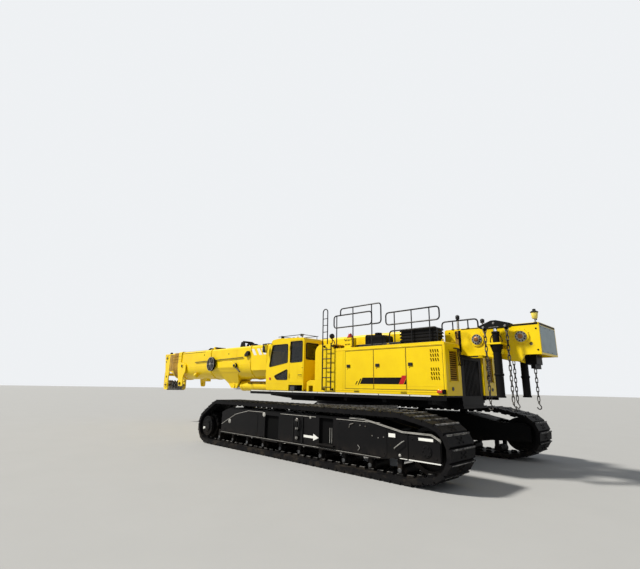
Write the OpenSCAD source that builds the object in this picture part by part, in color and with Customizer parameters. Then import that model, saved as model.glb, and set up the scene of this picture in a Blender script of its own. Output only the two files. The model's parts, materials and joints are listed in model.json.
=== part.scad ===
// Crawler crane with a telescopic boom, parked with the boom lowered to the front.
// Millimetres. +X is the way the boom points, +Y is the cab side, and Z = 0 is the ground.
// Sizes along X are counted from the slewing axis; place() then centres the machine on its length.

/* [Tracks] */
// Distance between the middles of the two tracks
track_gauge = 5200; // [4800:10:5800]
// Width of a track shoe
shoe_w = 1050; // [900:10:1150]
// Spacing that the shoes are set out at
shoe_pitch = 262; // [240:1:300]
// Height of a shoe over the chain
shoe_h = 70; // [50:1:80]
// Gap between two shoes at the chain
shoe_gap = 40; // [24:1:60]
// Thickness of the chain under the shoes
chain_t = 60; // [45:1:75]
// Idler: place behind the slewing axis
idler_x = 4380; // [4200:10:4600]
// Idler: height of its axle
idler_z = 720; // [680:5:780]
// Idler: radius of the chain round it
idler_r = 540; // [500:5:570]
// Drive wheel: place ahead of the slewing axis
drive_x = 4300; // [4150:10:4500]
// Drive wheel: height of its axle
drive_z = 580; // [560:5:640]
// Drive wheel: radius of the chain round it
drive_r = 485; // [460:5:490]
// Height of the upper run over the ground
run_top = 1475; // [1440:5:1500]
// Place of the upper guides ahead of and behind the slewing axis
guide_x = 3700; // [3500:10:3800]
// Place where the tracks leave the ground
foot_x = 3900; // [3750:10:3950]
// Diameter of a bottom roller
roller_d = 230; // [180:5:240]
// Bottom rollers on one side
roller_count = 10; // [6:1:11]

/* [Track frames] */
// Width of a track frame over its side plates
frame_w = 860; // [760:10:900]
// Height of the top of a track frame
frame_top = 1250; // [1200:5:1290]
// Height of the bottom of a track frame
frame_bottom = 430; // [400:5:460]
// Thickness of the side plates round the idler
fork_t = 60; // [40:1:80]
// Depth of the pockets in the outer side
pocket_d = 70; // [40:1:120]
// Diameter of the final drive's cover
final_drive_d = 640; // [500:10:700]

/* [Carbody and slewing ring] */
// Width of the carbody's middle box
carbody_w = 2500; // [2200:10:2800]
// Length of the carbody's middle box
carbody_l = 2700; // [2500:10:3000]
// Distance between the front and rear cross beams
beam_gap = 2300; // [2100:10:2600]
// Width of a cross beam
beam_w = 560; // [480:10:680]
// Height of the top of the carbody
carbody_top = 1240; // [1200:5:1280]
// Outer diameter of the slewing ring
ring_d = 2700; // [2500:10:2800]
// Width of the slewing ring's section
ring_w = 260; // [200:5:320]
// Height of the slewing ring's top
ring_top = 1460; // [1430:5:1475]

/* [Upper frame] */
// Thickness of the floor plate over the ring
floor_t = 90; // [60:5:100]
// Half width between the boom and the frame's side plates
bay_w = 620; // [615:1:640]
// Thickness of the frame's side plates
plate_t = 50; // [30:1:60]
// Height of the decks' tops
deck_top = 1815; // [1790:5:1830]
// Thickness of the decks
deck_t = 125; // [100:5:140]
// Half width over the decks
deck_y = 1600; // [1560:5:1700]
// Front end of the decks
deck_front = 3900; // [3500:10:4100]
// Rear end of the upper frame
deck_rear = 4100; // [3950:10:4200]
// Boom foot pin: place behind the slewing axis
foot_pin_x = 2900; // [2800:10:3000]
// Boom foot pin: height
foot_pin_z = 3000; // [2950:10:3050]
// Boom foot pin: diameter
foot_pin_d = 200; // [160:5:240]

/* [Houses] */
// Half width over the houses
house_y = 1500; // [1450:5:1550]
// Half width between the houses
house_in = 700; // [690:1:720]
// Height of the main roof
house_top = 3150; // [3050:10:3200]
// Height of the front hood
hood_top = 3310; // [3260:10:3350]
// Front of the hood
hood_front = 530; // [480:10:560]
// Joint between hood and main house
hood_rear = 280; // [250:10:320]
// Front edge of the first door, behind the slewing axis
door_x0 = 780; // [700:10:820]
// Spacing of the doors
door_pitch = 1085; // [1000:5:1095]
// Thickness of the walls and doors
wall_t = 36; // [25:1:45]
// Gap round a door
door_gap = 8; // [6:1:12]
// Height of a door's lower edge
door_z0 = 1930; // [1900:5:2000]
// Height of a door's upper edge
door_z1 = 3050; // [2980:5:3090]

/* [Cab] */
// Rear wall of the cab
cab_x = 1080; // [1050:5:1150]
// Length of the cab at the sill
cab_l = 2060; // [1950:10:2100]
// Height of the cab
cab_h = 1830; // [1780:5:1850]
// Cab wall on the boom side
cab_in = 650; // [645:1:670]
// Cab wall on the outer side
cab_y = 1500; // [1470:5:1550]
// Thickness of the cab's walls
cab_t = 50; // [40:1:60]
// Door opening: length
cab_door_l = 700; // [620:5:740]
// Height of the cab's floor over the deck
cab_lift = 15; // [8:1:20]

/* [Boom] */
// Width of the base section
boom_w = 1200; // [1150:5:1210]
// Height of the top of the boom
boom_top = 3650; // [3600:5:3700]
// Height of the bottom of the boom
boom_bottom = 2250; // [2220:5:2300]
// Wall of a boom section
boom_t = 14; // [10:1:16]
// Gap between two sections
boom_gap = 10; // [8:1:14]
// Front end of the base section
boom_nose = 12070; // [11800:10:12200]
// Rear end of the base section's tube
boom_rear = 2450; // [2350:10:2500]
// Length of one section's collar
collar_l = 140; // [120:5:160]
// Sections that slide out
sections = 5; // [5:1:5]
// Front end of the boom head
head_front = 13940; // [13800:10:14000]
// Length along the boom of the head's hanging arms
arm_l = 450; // [380:10:520]
// Height of the arms' lower ends
arm_bottom = 1680; // [1620:10:1760]
// Diameter of the head's sheaves
sheave_d = 520; // [440:10:540]
// Diameter of the bores in the nose collar's ears
ear_bore_d = 90; // [60:2:110]

/* [Luffing cylinder] */
// Base pin: place ahead of the slewing axis
luff_x = 600; // [500:10:700]
// Base pin: height
luff_z = 1940; // [1920:5:1960]
// Eye pin at the boom: place ahead of the slewing axis
eye_x = 7100; // [6900:10:7300]
// Eye pin at the boom: height
eye_z = 1960; // [1940:5:1990]
// Outer diameter of the barrel
barrel_d = 420; // [380:5:430]
// Diameter of the rod
rod_d = 300; // [260:5:320]
// Diameter of the cylinder's pins
luff_pin_d = 160; // [120:5:180]

/* [Winches and counterweight gear] */
// Thickness of the winch frame's plates
winch_t = 40; // [25:1:60]
// Front end of the winch frame
winch_front = 3660; // [3640:10:3700]
// Height of the winch frame's top
winch_top = 3545; // [3500:5:3600]
// Height of the winch frame's bottom at the rear
winch_bottom = 2800; // [2700:10:2850]
// Diameter of a winch drum
drum_d = 440; // [380:10:500]
// Diameter of a winch drum's flanges
flange_d = 620; // [580:10:640]
// Place of the main winch behind the slewing axis
main_winch_x = 4560; // [4450:10:4650]
// Distance between the two winches' axes
winch_gap = 1080; // [950:10:1150]
// Room between the second winch's flanges and the frame's rear end
tail_gap = 60; // [20:5:120]
// Height of the winches' axes
winch_z = 3230; // [3190:5:3230]
// Half distance between the counterweight cylinders
lift_y = 880; // [860:5:940]
// Distance from the main winch back to the counterweight cylinders
lift_gap = 580; // [540:10:620]
// Diameter of a counterweight cylinder
lift_d = 190; // [160:5:220]
// Height of a chain link
link_l = 170; // [160:5:190]
// Links in one chain
link_count = 14; // [10:1:14]

/* [Hidden] */

yellow = [0.93, 0.76, 0.04];
black = [0.05, 0.05, 0.055];
grey = [0.45, 0.46, 0.46];
steel = [0.62, 0.63, 0.64];
dark_glass = [0.10, 0.13, 0.14];

// Clearances: a seat between two bodies, a running fit in a pin's bore, and room for a moving piece
seat = 0.3;
fit = 0.1;
room = 8;

// The winches set the frame's rear end, and the rear and front ends give the machine's middle
aux_winch_x = main_winch_x + winch_gap;
winch_rear = aux_winch_x + flange_d / 2 + tail_gap + winch_t;
lift_x = main_winch_x + lift_gap;
frame_x = (winch_rear - head_front) / 2;
shoe_out = (track_gauge + shoe_w) / 2;
frame_y1 = (track_gauge + frame_w) / 2;
frame_y0 = (track_gauge - frame_w) / 2;

module place() translate([frame_x, 0, 0]) children();

// Helpers: boxes, discs and bars between two points
module block(x0, x1, y0, y1, z0, z1) translate([x0, y0, z0]) cube([x1 - x0, y1 - y0, z1 - z0]);
module disc_y(x, z, y0, y1, d, fn = 48)
    translate([x, y1, z]) rotate([90, 0, 0]) cylinder(h = y1 - y0, d = d, $fn = fn);
module disc_x(y, z, x0, x1, d, fn = 32)
    translate([x0, y, z]) rotate([0, 90, 0]) cylinder(h = x1 - x0, d = d, $fn = fn);
module post(x, y, z0, z1, d, fn = 24) translate([x, y, z0]) cylinder(h = z1 - z0, d = d, $fn = fn);
module bar(p, q, d, fn = 16) {
    v = q - p;
    translate(p) rotate([0, acos(v[2] / norm(v)), atan2(v[1], v[0])]) cylinder(h = norm(v), d = d, $fn = fn);
}
module both_sides() {
    children();
    mirror([0, 1, 0]) children();
}

// An outline through rows of [x, z, corner radius], with every corner of some radius turned into an arc
function xy(row) = [row[0], row[1]];
function unit(v) = v / norm(v);
function corner_arc(p, q, s, r, n) =
    let (a = unit(p - q), b = unit(s - q), half = acos(a * b) / 2, c = q + unit(a + b) * r / sin(half),
        u = q + a * r / tan(half) - c, v = q + b * r / tan(half) - c,
        a0 = atan2(u[1], u[0]), turn = atan2(u[0] * v[1] - u[1] * v[0], u * v))
    [for (i = [0:n]) c + r * [cos(a0 + turn * i / n), sin(a0 + turn * i / n)]];
function outline(rows, n = 6) =
    [for (i = [0:len(rows) - 1])
        let (q = rows[i], p = rows[(i + len(rows) - 1) % len(rows)], s = rows[(i + 1) % len(rows)])
        each (q[2] > 0 ? corner_arc(xy(p), xy(q), xy(s), q[2], n) : [xy(q)])];
// A plate whose outline lies in the side view, from y0 to y1
module side_plate(rows, y0, y1, n = 6)
    translate([0, y1, 0]) rotate([90, 0, 0]) linear_extrude(y1 - y0) polygon(outline(rows, n));
// A plate whose outline lies in the front view, from x0 to x1
module front_plate(rows, x0, x1, n = 6)
    translate([x0, 0, 0]) rotate([90, 0, 90]) linear_extrude(x1 - x0) polygon(outline(rows, n));

// Tracks. The chain is a belt round six guide circles of [x, z, radius], anticlockwise from the drive wheel
guide_r = 500;
foot_r = 320;
guides = [[drive_x, drive_z, drive_r], [guide_x, run_top - shoe_h - guide_r, guide_r],
    [-guide_x, run_top - shoe_h - guide_r, guide_r], [-idler_x, idler_z, idler_r],
    [-foot_x, shoe_h + foot_r, foot_r], [foot_x, shoe_h + foot_r, foot_r]];
guide_n = len(guides);
function leg(i) = xy(guides[(i + 1) % guide_n]) - xy(guides[i % guide_n]);
function leg_angle(i) =
    atan2(leg(i)[1], leg(i)[0]) - acos((guides[i][2] - guides[(i + 1) % guide_n][2]) / norm(leg(i)));
leg_angles = [for (i = [0:guide_n - 1]) leg_angle(i)];
function from_angle(i) = leg_angles[(i + guide_n - 1) % guide_n];
function arc_turn(i) = ((leg_angles[i] - from_angle(i)) % 360 + 360) % 360;
// Stretches of the belt in turn: an arc round each guide, then the straight to the next
stretch = [for (i = [0:guide_n - 1])
    each [guides[i][2] * arc_turn(i) * PI / 180,
        sqrt(pow(norm(leg(i)), 2) - pow(guides[i][2] - guides[(i + 1) % guide_n][2], 2))]];
function sum_to(list, n) = n == 0 ? 0 : list[n - 1] + sum_to(list, n - 1);
starts = [for (i = [0:2 * guide_n]) sum_to(stretch, i)];
belt_l = starts[2 * guide_n];
shoes = round(belt_l / shoe_pitch);
pitch = belt_l / shoes;
// The point at distance s along the chain's outer face, and off outwards from it
function belt_at(s, off) =
    let (j = [for (k = [0:2 * guide_n - 1]) if (s >= starts[k] && s < starts[k + 1]) k][0],
        i = floor(j / 2), c = xy(guides[i]), r = guides[i][2] + off, u = s - starts[j],
        a = j % 2 == 0 ? from_angle(i) + u / guides[i][2] * 180 / PI : leg_angles[i])
    c + r * [cos(a), sin(a)] + (j % 2 == 0 ? 0 : u) * [-sin(a), cos(a)];
// A shoe's outline as [distance past its joint, height]: a ridge along its first edge, then the flat plate
ridge_w = 26;
ridge_h = 20;
ridge_rise = 6;
ridge_fall = 10;
ridge_x0 = shoe_gap / 2 + ridge_rise;
shoe_rows = [[shoe_gap / 2, 0], [ridge_x0, shoe_h], [ridge_x0 + ridge_w, shoe_h],
    [ridge_x0 + ridge_w + ridge_fall, shoe_h - ridge_h], [pitch - shoe_gap / 2, shoe_h - ridge_h]];
// Flats of the chain's inner face round one guide, which they touch from outside
inner_n = 7;
function inner_r(i) = (guides[i][2] - chain_t) / cos(arc_turn(i) / inner_n / 2);
module track_profile() difference() {
    polygon([for (k = [0:shoes - 1]) for (row = shoe_rows) belt_at(k * pitch + row[0], row[1])]);
    polygon([for (i = [0:guide_n - 1]) for (k = [0:inner_n])
        let (a = from_angle(i) + arc_turn(i) * k / inner_n)
        xy(guides[i]) + inner_r(i) * [cos(a), sin(a)]]);
}
module track_at_left()
    translate([0, shoe_out, 0]) rotate([90, 0, 0]) linear_extrude(shoe_w) track_profile();
module track_left() color(black) place() track_at_left();
module track_right() color(black) place() mirror([0, 1, 0]) track_at_left();

// Track frame: a box girder with stepped pockets, a fork round the idler and an arm to the drive wheel
fork_x = 3550;
fork_top = 1045;
fork_end = idler_x + 330;
cover_x = 3950;
cover_top = 985;
arm_x = 3450;
pockets = [[420, 1060, 440, 1120], [-1740, -1240, 560, 1190]];
roller_span = 2 * foot_x - 500;
function roller_x(i) = -roller_span / 2 + roller_span * i / (roller_count - 1);
roller_z = shoe_h + chain_t + roller_d / 2 + seat;
roller_l = 520;
hanger_w = 110;
hanger_t = 90;
flange_out = 45;
step_out = 70;
panel_t = 15;
hose_x = -430;
hose_pins = [620, 860, 1080];
module track_frame_at_left() {
    difference() {
        side_plate([[arm_x, frame_bottom, 0], [arm_x, frame_top - 160, 60], [arm_x - 500, frame_top, 120],
            [-2600, frame_top, 200], [-fork_x, fork_top + 45, 60], [-fork_x, frame_bottom + 60, 0],
            [-fork_x + 350, frame_bottom, 0]], frame_y0, frame_y1);
        for (p = pockets) block(p[0], p[1], frame_y1 - pocket_d, frame_y1 + 1, p[2], p[3]);
    }
    // Flange along the lower edge, a step under each pocket and the cover over the idler's tensioner
    block(-fork_x + 350, arm_x, frame_y1 - 1, frame_y1 + flange_out, frame_bottom, frame_bottom + 25);
    for (p = pockets) block(p[0] - 60, p[1] + 60, frame_y1 - pocket_d, frame_y1 + step_out, p[2] - 30, p[2]);
    side_plate([[-cover_x, frame_bottom + 90, 0], [-cover_x, cover_top, 0], [-fork_end + 180, cover_top, 60],
        [-fork_end + 20, cover_top - 85, 60], [-fork_end + 20, frame_bottom + 90, 0]],
        frame_y1 - 1, frame_y1 + panel_t);
    // Bracket of the track's hose coupling, with three pins
    side_plate([[hose_x - 190, 500, 40], [hose_x + 190, 500, 40], [hose_x + 190, frame_top - 60, 80],
        [hose_x - 190, frame_top - 60, 80]], frame_y1 - 1, frame_y1 + panel_t);
    for (z = hose_pins) disc_y(hose_x, z, frame_y1, frame_y1 + flange_out, 130, 32);
    // Fork plates beside the idler, with its axle
    for (y = [frame_y0, frame_y1 - fork_t])
        side_plate([[-fork_x, fork_top + 45, 0], [-cover_x + 190, fork_top, 0],
        [-fork_end + 180, fork_top, 60],
            [-fork_end, fork_top - 95, 60], [-fork_end, frame_bottom + 110, 40],
            [-fork_x, frame_bottom + 60, 0]], y, y + fork_t);
    disc_y(-idler_x, idler_z, frame_y0, frame_y1, 140);
    // Arms and the final drive, whose cover stands out past the frame
    side_plate([[arm_x, frame_bottom + 60, 0], [drive_x + 180, drive_z - 180, 100],
        [drive_x + 180, drive_z + 200, 140], [arm_x, frame_top - 200, 0]], frame_y0, frame_y0 + fork_t);
    disc_y(drive_x, drive_z, frame_y0 + fork_t, frame_y1 - fork_t, 300);
    disc_y(drive_x, drive_z, frame_y1 - fork_t, frame_y1 + 40, final_drive_d);
    disc_y(drive_x, drive_z, frame_y1 + 40, frame_y1 + 70, final_drive_d - 260);
    // Hangers of the bottom rollers
    for (i = [0:roller_count - 1])
        for (y = [track_gauge / 2 - roller_l / 2 - seat - hanger_t, track_gauge / 2 + roller_l / 2 + seat])
            block(roller_x(i) - hanger_w / 2, roller_x(i) + hanger_w / 2, y, y + hanger_t,
                roller_z - 60, frame_bottom + 70);
}
module track_frame_left() color(black) place() track_frame_at_left();
module track_frame_right() color(black) place() mirror([0, 1, 0]) track_frame_at_left();

// Idler, drive wheel, bottom rollers and the slides that carry the upper run
wheel_y0 = track_gauge / 2 - 290;
wheel_y1 = track_gauge / 2 + 290;
teeth = 15;
tooth_h = 44;
carrier_xs = [-2500, -900, 900, 2500];
module rollers_at_left() {
    difference() {
        disc_y(-idler_x, idler_z, wheel_y0, wheel_y1, 2 * (idler_r - chain_t - seat), 96);
        disc_y(-idler_x, idler_z, wheel_y0 - 1, wheel_y1 + 1, 140 + 2 * seat);
        for (y = [wheel_y0 - 1, wheel_y1 - 90])
            translate([-idler_x, y + 91, idler_z]) rotate([90, 0, 0]) difference() {
                cylinder(h = 91, r = idler_r - chain_t - 90, $fn = 64);
                translate([0, 0, -1]) cylinder(h = 93, d = 300, $fn = 48);
            }
    }
    difference() {
        translate([drive_x, wheel_y1, drive_z]) rotate([90, 0, 0]) linear_extrude(wheel_y1 - wheel_y0)
            polygon([for (i = [0:teeth - 1]) for (c = [[0, 0], [0.3, 0], [0.5, tooth_h], [0.8, tooth_h]])
                let (a = 360 * (i + c[0]) / teeth, r = drive_r - chain_t - seat - c[1])
                r * [cos(a), sin(a)]]);
        disc_y(drive_x, drive_z, wheel_y0 - 1, wheel_y1 + 1, 300 + 2 * seat);
    }
    for (i = [0:roller_count - 1])
        disc_y(roller_x(i), roller_z, track_gauge / 2 - roller_l / 2, track_gauge / 2 + roller_l / 2,
        roller_d);
    carrier_d = run_top - shoe_h - chain_t - frame_top - 2 * seat;
    for (x = carrier_xs)
        disc_y(x, frame_top + seat + carrier_d / 2, track_gauge / 2 - 200, track_gauge / 2 + 200, carrier_d);
}
module rollers_left() color(black) place() rollers_at_left();
module rollers_right() color(black) place() mirror([0, 1, 0]) rollers_at_left();

// Carbody: a middle box with four cross beams that end at the track frames
carbody_bottom = 520;
module carbody() color(black) place() {
    difference() {
        side_plate([[carbody_l / 2, carbody_bottom, 120], [carbody_l / 2, carbody_top, 0],
            [-carbody_l / 2, carbody_top, 0], [-carbody_l / 2, carbody_bottom, 120]],
            -carbody_w / 2, carbody_w / 2);
        translate([0, 0, carbody_top - 200]) cylinder(h = 201, d = ring_d - 2 * ring_w, $fn = 96);
    }
    for (x = [-beam_gap / 2, beam_gap / 2]) both_sides()
        front_plate([[carbody_w / 2, carbody_bottom, 0], [frame_y0, carbody_bottom + 60, 0],
            [frame_y0, frame_top - 60, 0], [carbody_w / 2, carbody_top, 0]], x - beam_w / 2, x + beam_w / 2);
    // Steps up to the deck, between the beams
    both_sides()
        block(-260, 260, carbody_w / 2, carbody_w / 2 + 260, carbody_bottom + 120, carbody_bottom + 170);
}
// Slewing ring with its bolted flange
module slewing_ring() color(grey) place() difference() {
    union() {
        translate([0, 0, carbody_top]) cylinder(h = ring_top - carbody_top, d = ring_d - 60, $fn = 96);
        translate([0, 0, carbody_top]) cylinder(h = 50, d = ring_d, $fn = 96);
        translate([0, 0, ring_top - 70]) cylinder(h = 70, d = ring_d, $fn = 96);
    }
    translate([0, 0, carbody_top - 1])
        cylinder(h = ring_top - carbody_top + 2, d = ring_d - 2 * ring_w, $fn = 96);
}

// Upper frame: a round spigot in the ring, a floor, two tall side plates and the pins of boom and cylinder
floor_z0 = ring_top + seat;
floor_z1 = floor_z0 + floor_t;
// The floor outside the ring passes over the tracks
slab_z0 = run_top + 2 * room;
side_out = bay_w + plate_t;
slab_front = 2600;
clevis_y0 = 165;
clevis_t = 90;
foot_eye_d = 640;
module upper_frame() color(black) place() {
    difference() {
        union() {
            translate([0, 0, floor_z0]) cylinder(h = floor_t, d = ring_d, $fn = 96);
            block(-deck_rear, slab_front, -side_out, side_out, slab_z0, floor_z1);
            translate([0, 0, ring_top - 150])
                cylinder(h = 160, d = ring_d - 2 * ring_w - 2 * seat, $fn = 96);
        }
        translate([0, 0, ring_top - 151]) cylinder(h = 152, d = ring_d - 2 * ring_w - 160, $fn = 96);
    }
    both_sides() side_plate([[900, floor_z1, 0], [900, deck_top + 60, 120], [-300, 2300, 300],
        [-foot_pin_x + foot_eye_d / 2, foot_pin_z + 200, 200],
        [-foot_pin_x - foot_eye_d / 2, foot_pin_z + 280, 200],
        [-deck_rear + 120, foot_pin_z, 120], [-deck_rear + 120, floor_z1, 0]], bay_w, side_out);
    disc_y(-foot_pin_x, foot_pin_z, -side_out, side_out, foot_pin_d);
    // Clevis and pin of the luffing cylinder
    both_sides() side_plate([[luff_x - 420, floor_z1, 0], [luff_x + 420, floor_z1, 0],
        [luff_x + 190, luff_z + 160, 150], [luff_x - 190, luff_z + 160, 150]], clevis_y0,
        clevis_y0 + clevis_t);
    disc_y(luff_x, luff_z, -clevis_y0 - clevis_t, clevis_y0 + clevis_t, luff_pin_d);
    // Cross beams under the decks, carried by the floor and the side plates
    for (x = [-3700, -2300, -900, 500]) both_sides()
        front_plate([[side_out, floor_z1 - 60, 0], [side_out + 500, deck_top - deck_t - 110, 0],
            [deck_y - 60, deck_top - deck_t - 90, 0], [deck_y - 60, deck_top - deck_t, 0],
            [side_out, deck_top - deck_t, 0]], x, x + 120);
    // Front beams that run out under the ends of the decks
    both_sides()
        side_plate([[900, floor_z1, 0], [slab_front, floor_z1, 0],
        [deck_front - 60, deck_top - deck_t - 60, 0],
        [deck_front - 60, deck_top - deck_t, 0], [900, deck_top - deck_t, 0]], bay_w + 20, side_out);
}

// Decks beside the boom, each one plate with a folded edge
module decks() color(black) place() both_sides() difference() {
    block(-deck_rear, deck_front, side_out + 20, deck_y, deck_top - deck_t, deck_top);
    block(-deck_rear - 1, deck_front - 60, side_out + 60, deck_y - 40, deck_top - deck_t - 1, deck_top - 40);
    for (x = [-3700, -2300, -900, 500])
        block(x, x + 120, side_out, deck_y - 60, deck_top - deck_t - 1, deck_top - deck_t);
}

// Houses: shells open to the doors, with a raised round hood in front
house_rows = [[hood_front, deck_top, 0], [hood_front, hood_top, 260], [-hood_rear, hood_top, 20],
    [-hood_rear, house_top, 0], [-deck_rear, house_top, 90], [-deck_rear, deck_top, 0]];
door_end = door_x0 + 3 * door_pitch;
module house_at_left() difference() {
    side_plate(house_rows, house_in, house_y);
    side_plate([for (r = house_rows)
        [r[0] + (r[0] > -deck_rear ? -wall_t : wall_t),
         r[1] + (r[1] == deck_top ? wall_t : -wall_t), max(0, r[2] - wall_t)]],
        house_in + wall_t, house_y - wall_t);
    block(-door_end, -door_x0, house_y - wall_t - 1, house_y + 1, door_z0, door_z1);
    // Grille opening in the rear wall
    block(-deck_rear - 1, -deck_rear + wall_t + 1, house_in + 180, house_y - 180, door_z0 + 250,
        door_z1 - 120);
}
// Posts behind the joints of the doors, which shut against them
post_w = 60;
post_t = 40;
module door_posts() for (i = [0:3]) {
    x = -door_x0 - i * door_pitch;
    block(x - post_w / 2, x + post_w / 2, house_y - wall_t - post_t, house_y - wall_t, door_z0 - 20,
        door_z1 + 20);
}
// Bracket between the hood and the cab, and the lamp's box on the roof, both on the cab side only
bracket_l = 400;
bracket_h = 365;
lamp_box_x = 630;
lamp_box_l = 310;
lamp_box_h = 320;
module house_left() color(yellow) place() {
    house_at_left();
    door_posts();
    difference() {
        side_plate([[hood_front - 20, deck_top, 0], [hood_front + bracket_l, deck_top, 0],
            [hood_front + bracket_l, deck_top + bracket_h - 60, 100],
            [hood_front + bracket_l - 130, deck_top + bracket_h, 90],
            [hood_front - 20, deck_top + bracket_h, 0]], house_y - 320, house_y - 20);
        side_plate([[hood_front + 60, deck_top - 1, 0], [hood_front + bracket_l - 60, deck_top - 1, 0],
            [hood_front + bracket_l - 60, deck_top + bracket_h - 120, 60],
            [hood_front + 60, deck_top + bracket_h - 60, 60]],
            house_y - 260, house_y - 80);
        block(hood_front + 100, hood_front + bracket_l - 100, house_y - 321, house_y - 19, deck_top - 1,
            deck_top + 190);
    }
    block(-lamp_box_x - lamp_box_l, -lamp_box_x, 1150, 1380, house_top - 1, house_top + lamp_box_h);
}
module house_right() color(yellow) place() mirror([0, 1, 0]) {
    house_at_left();
    door_posts();
}

// Side doors, hung at their rear edges; the last on each side has two groups of slanted louvre slots
slot_rows = 3;
slot_columns = 4;
latch_z = 2560;
module house_door(i) {
    x1 = -door_x0 - (i - 1) * door_pitch - door_gap / 2;
    x0 = x1 - door_pitch + door_gap;
    difference() {
        block(x0, x1, house_y - wall_t + seat, house_y, door_z0 + door_gap, door_z1 - door_gap);
        if (i == 3) for (z = [2330, 2760]) for (r = [0:slot_rows - 1]) for (c = [0:slot_columns - 1])
            side_plate([[x0 + 190 + c * 95, z + r * 105, 0], [x0 + 245 + c * 95, z + r * 105, 0],
                [x0 + 285 + c * 95, z + r * 105 + 70, 0], [x0 + 230 + c * 95, z + r * 105 + 70, 0]],
                house_y - wall_t - 1, house_y + 1);
    }
    block(x1 - 190, x1 - 80, house_y, house_y + 18, latch_z, latch_z + 70);
}
module door_left_1() color(yellow) place() house_door(1);
module door_left_2() color(yellow) place() house_door(2);
module door_left_3() color(yellow) place() house_door(3);
module door_right_1() color(yellow) place() mirror([0, 1, 0]) house_door(1);
module door_right_2() color(yellow) place() mirror([0, 1, 0]) house_door(2);
module door_right_3() color(yellow) place() mirror([0, 1, 0]) house_door(3);

// Engine and tank, plain masses on the houses' floors, each from its rear to its front end
engine_x = [-deck_rear + 1200, -hood_rear - 1020];
tank_x = [-deck_rear + 1500, -hood_rear - 620];
mass_y = [house_in + 150, house_y - 200];
mass_h = 0.7 * (house_top - deck_top);
module engine() color(grey) place() {
    floor_z = deck_top + wall_t;
    block(engine_x[0], engine_x[1], mass_y[0], mass_y[1], floor_z, floor_z + mass_h);
    mirror([0, 1, 0]) block(tank_x[0], tank_x[1], mass_y[0], mass_y[1], floor_z, floor_z + mass_h);
}

// Rear grille between the houses: a frame with upright bars
grille_x = -deck_rear + 40;
grille_z1 = 2830;
module rear_grille() color(black) place() {
    difference() {
        block(grille_x, grille_x + 60, -bay_w, bay_w, floor_z1, grille_z1);
        block(grille_x - 1, grille_x + 61, -bay_w + 160, bay_w - 160, floor_z1 + 250, grille_z1 - 80);
    }
    for (i = [0:10]) block(grille_x + 15, grille_x + 45, -bay_w + 200 + i * 80, -bay_w + 230 + i * 80,
        floor_z1 + 250, grille_z1 - 80);
}

// Ladder up to the roof, with a hoop over it
ladder_x0 = -270;
ladder_x1 = 100;
ladder_y = house_y + 90;
rung_pitch = 290;
ladder_top = 3300;
hoop_top = 4480;
module ladder() color(black) place() {
    for (x = [ladder_x0, ladder_x1]) {
        bar([x, ladder_y, deck_top + 60], [x, ladder_y, ladder_top], 42);
        for (z = [deck_top + 90, ladder_top - 60]) bar([x, house_y, z], [x, ladder_y, z], 34);
    }
    for (z = [deck_top + 150:rung_pitch:ladder_top - 60])
        bar([ladder_x0, ladder_y, z], [ladder_x1, ladder_y, z], 30);
    // Hoop on the hood's roof
    for (x = [40, 250]) bar([x, house_y - 60, hood_top], [x, house_y - 60, hoop_top - 105], 36);
    translate([145, house_y - 60, hoop_top - 105]) rotate([90, 0, 0]) rotate_extrude(angle = 180, $fn = 32)
        translate([105, 0]) circle(d = 36, $fn = 16);
    for (z = [3500:220:4300]) bar([40, house_y - 60, z], [250, house_y - 60, z], 24);
}

// Roof rails: a double one beside the hood, one round the exhaust box and a low one on the winch frame
rail_d = 42;
rail_r = 130;
rail_y1 = 1430;
rail_y2 = 1180;
rail_z0 = 3790;
rail_z1 = 4220;
double_top = 4430;
rail_2_top = 4150;
guard_top = 3600;
rail_3_top = 3800;
rail_3_x = [-4620, -3560];
module rail_loop(x0, x1, y, z0, z1) difference() {
    side_plate([[x0, z0, rail_r], [x1, z0, rail_r], [x1, z1, rail_r], [x0, z1, rail_r]],
        y - rail_d / 2, y + rail_d / 2);
    side_plate([[x0 + rail_d, z0 + rail_d, rail_r - rail_d], [x1 - rail_d, z0 + rail_d, rail_r - rail_d],
        [x1 - rail_d, z1 - rail_d, rail_r - rail_d], [x0 + rail_d, z1 - rail_d, rail_r - rail_d]],
        y - rail_d, y + rail_d);
}
module rail_arch(x0, x1, y, foot, top) difference() {
    rail_loop(x0, x1, y, foot - 2 * rail_r, top);
    block(x0 - 1, x1 + 1, y - rail_d, y + rail_d, foot - 3 * rail_r, foot);
}
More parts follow.
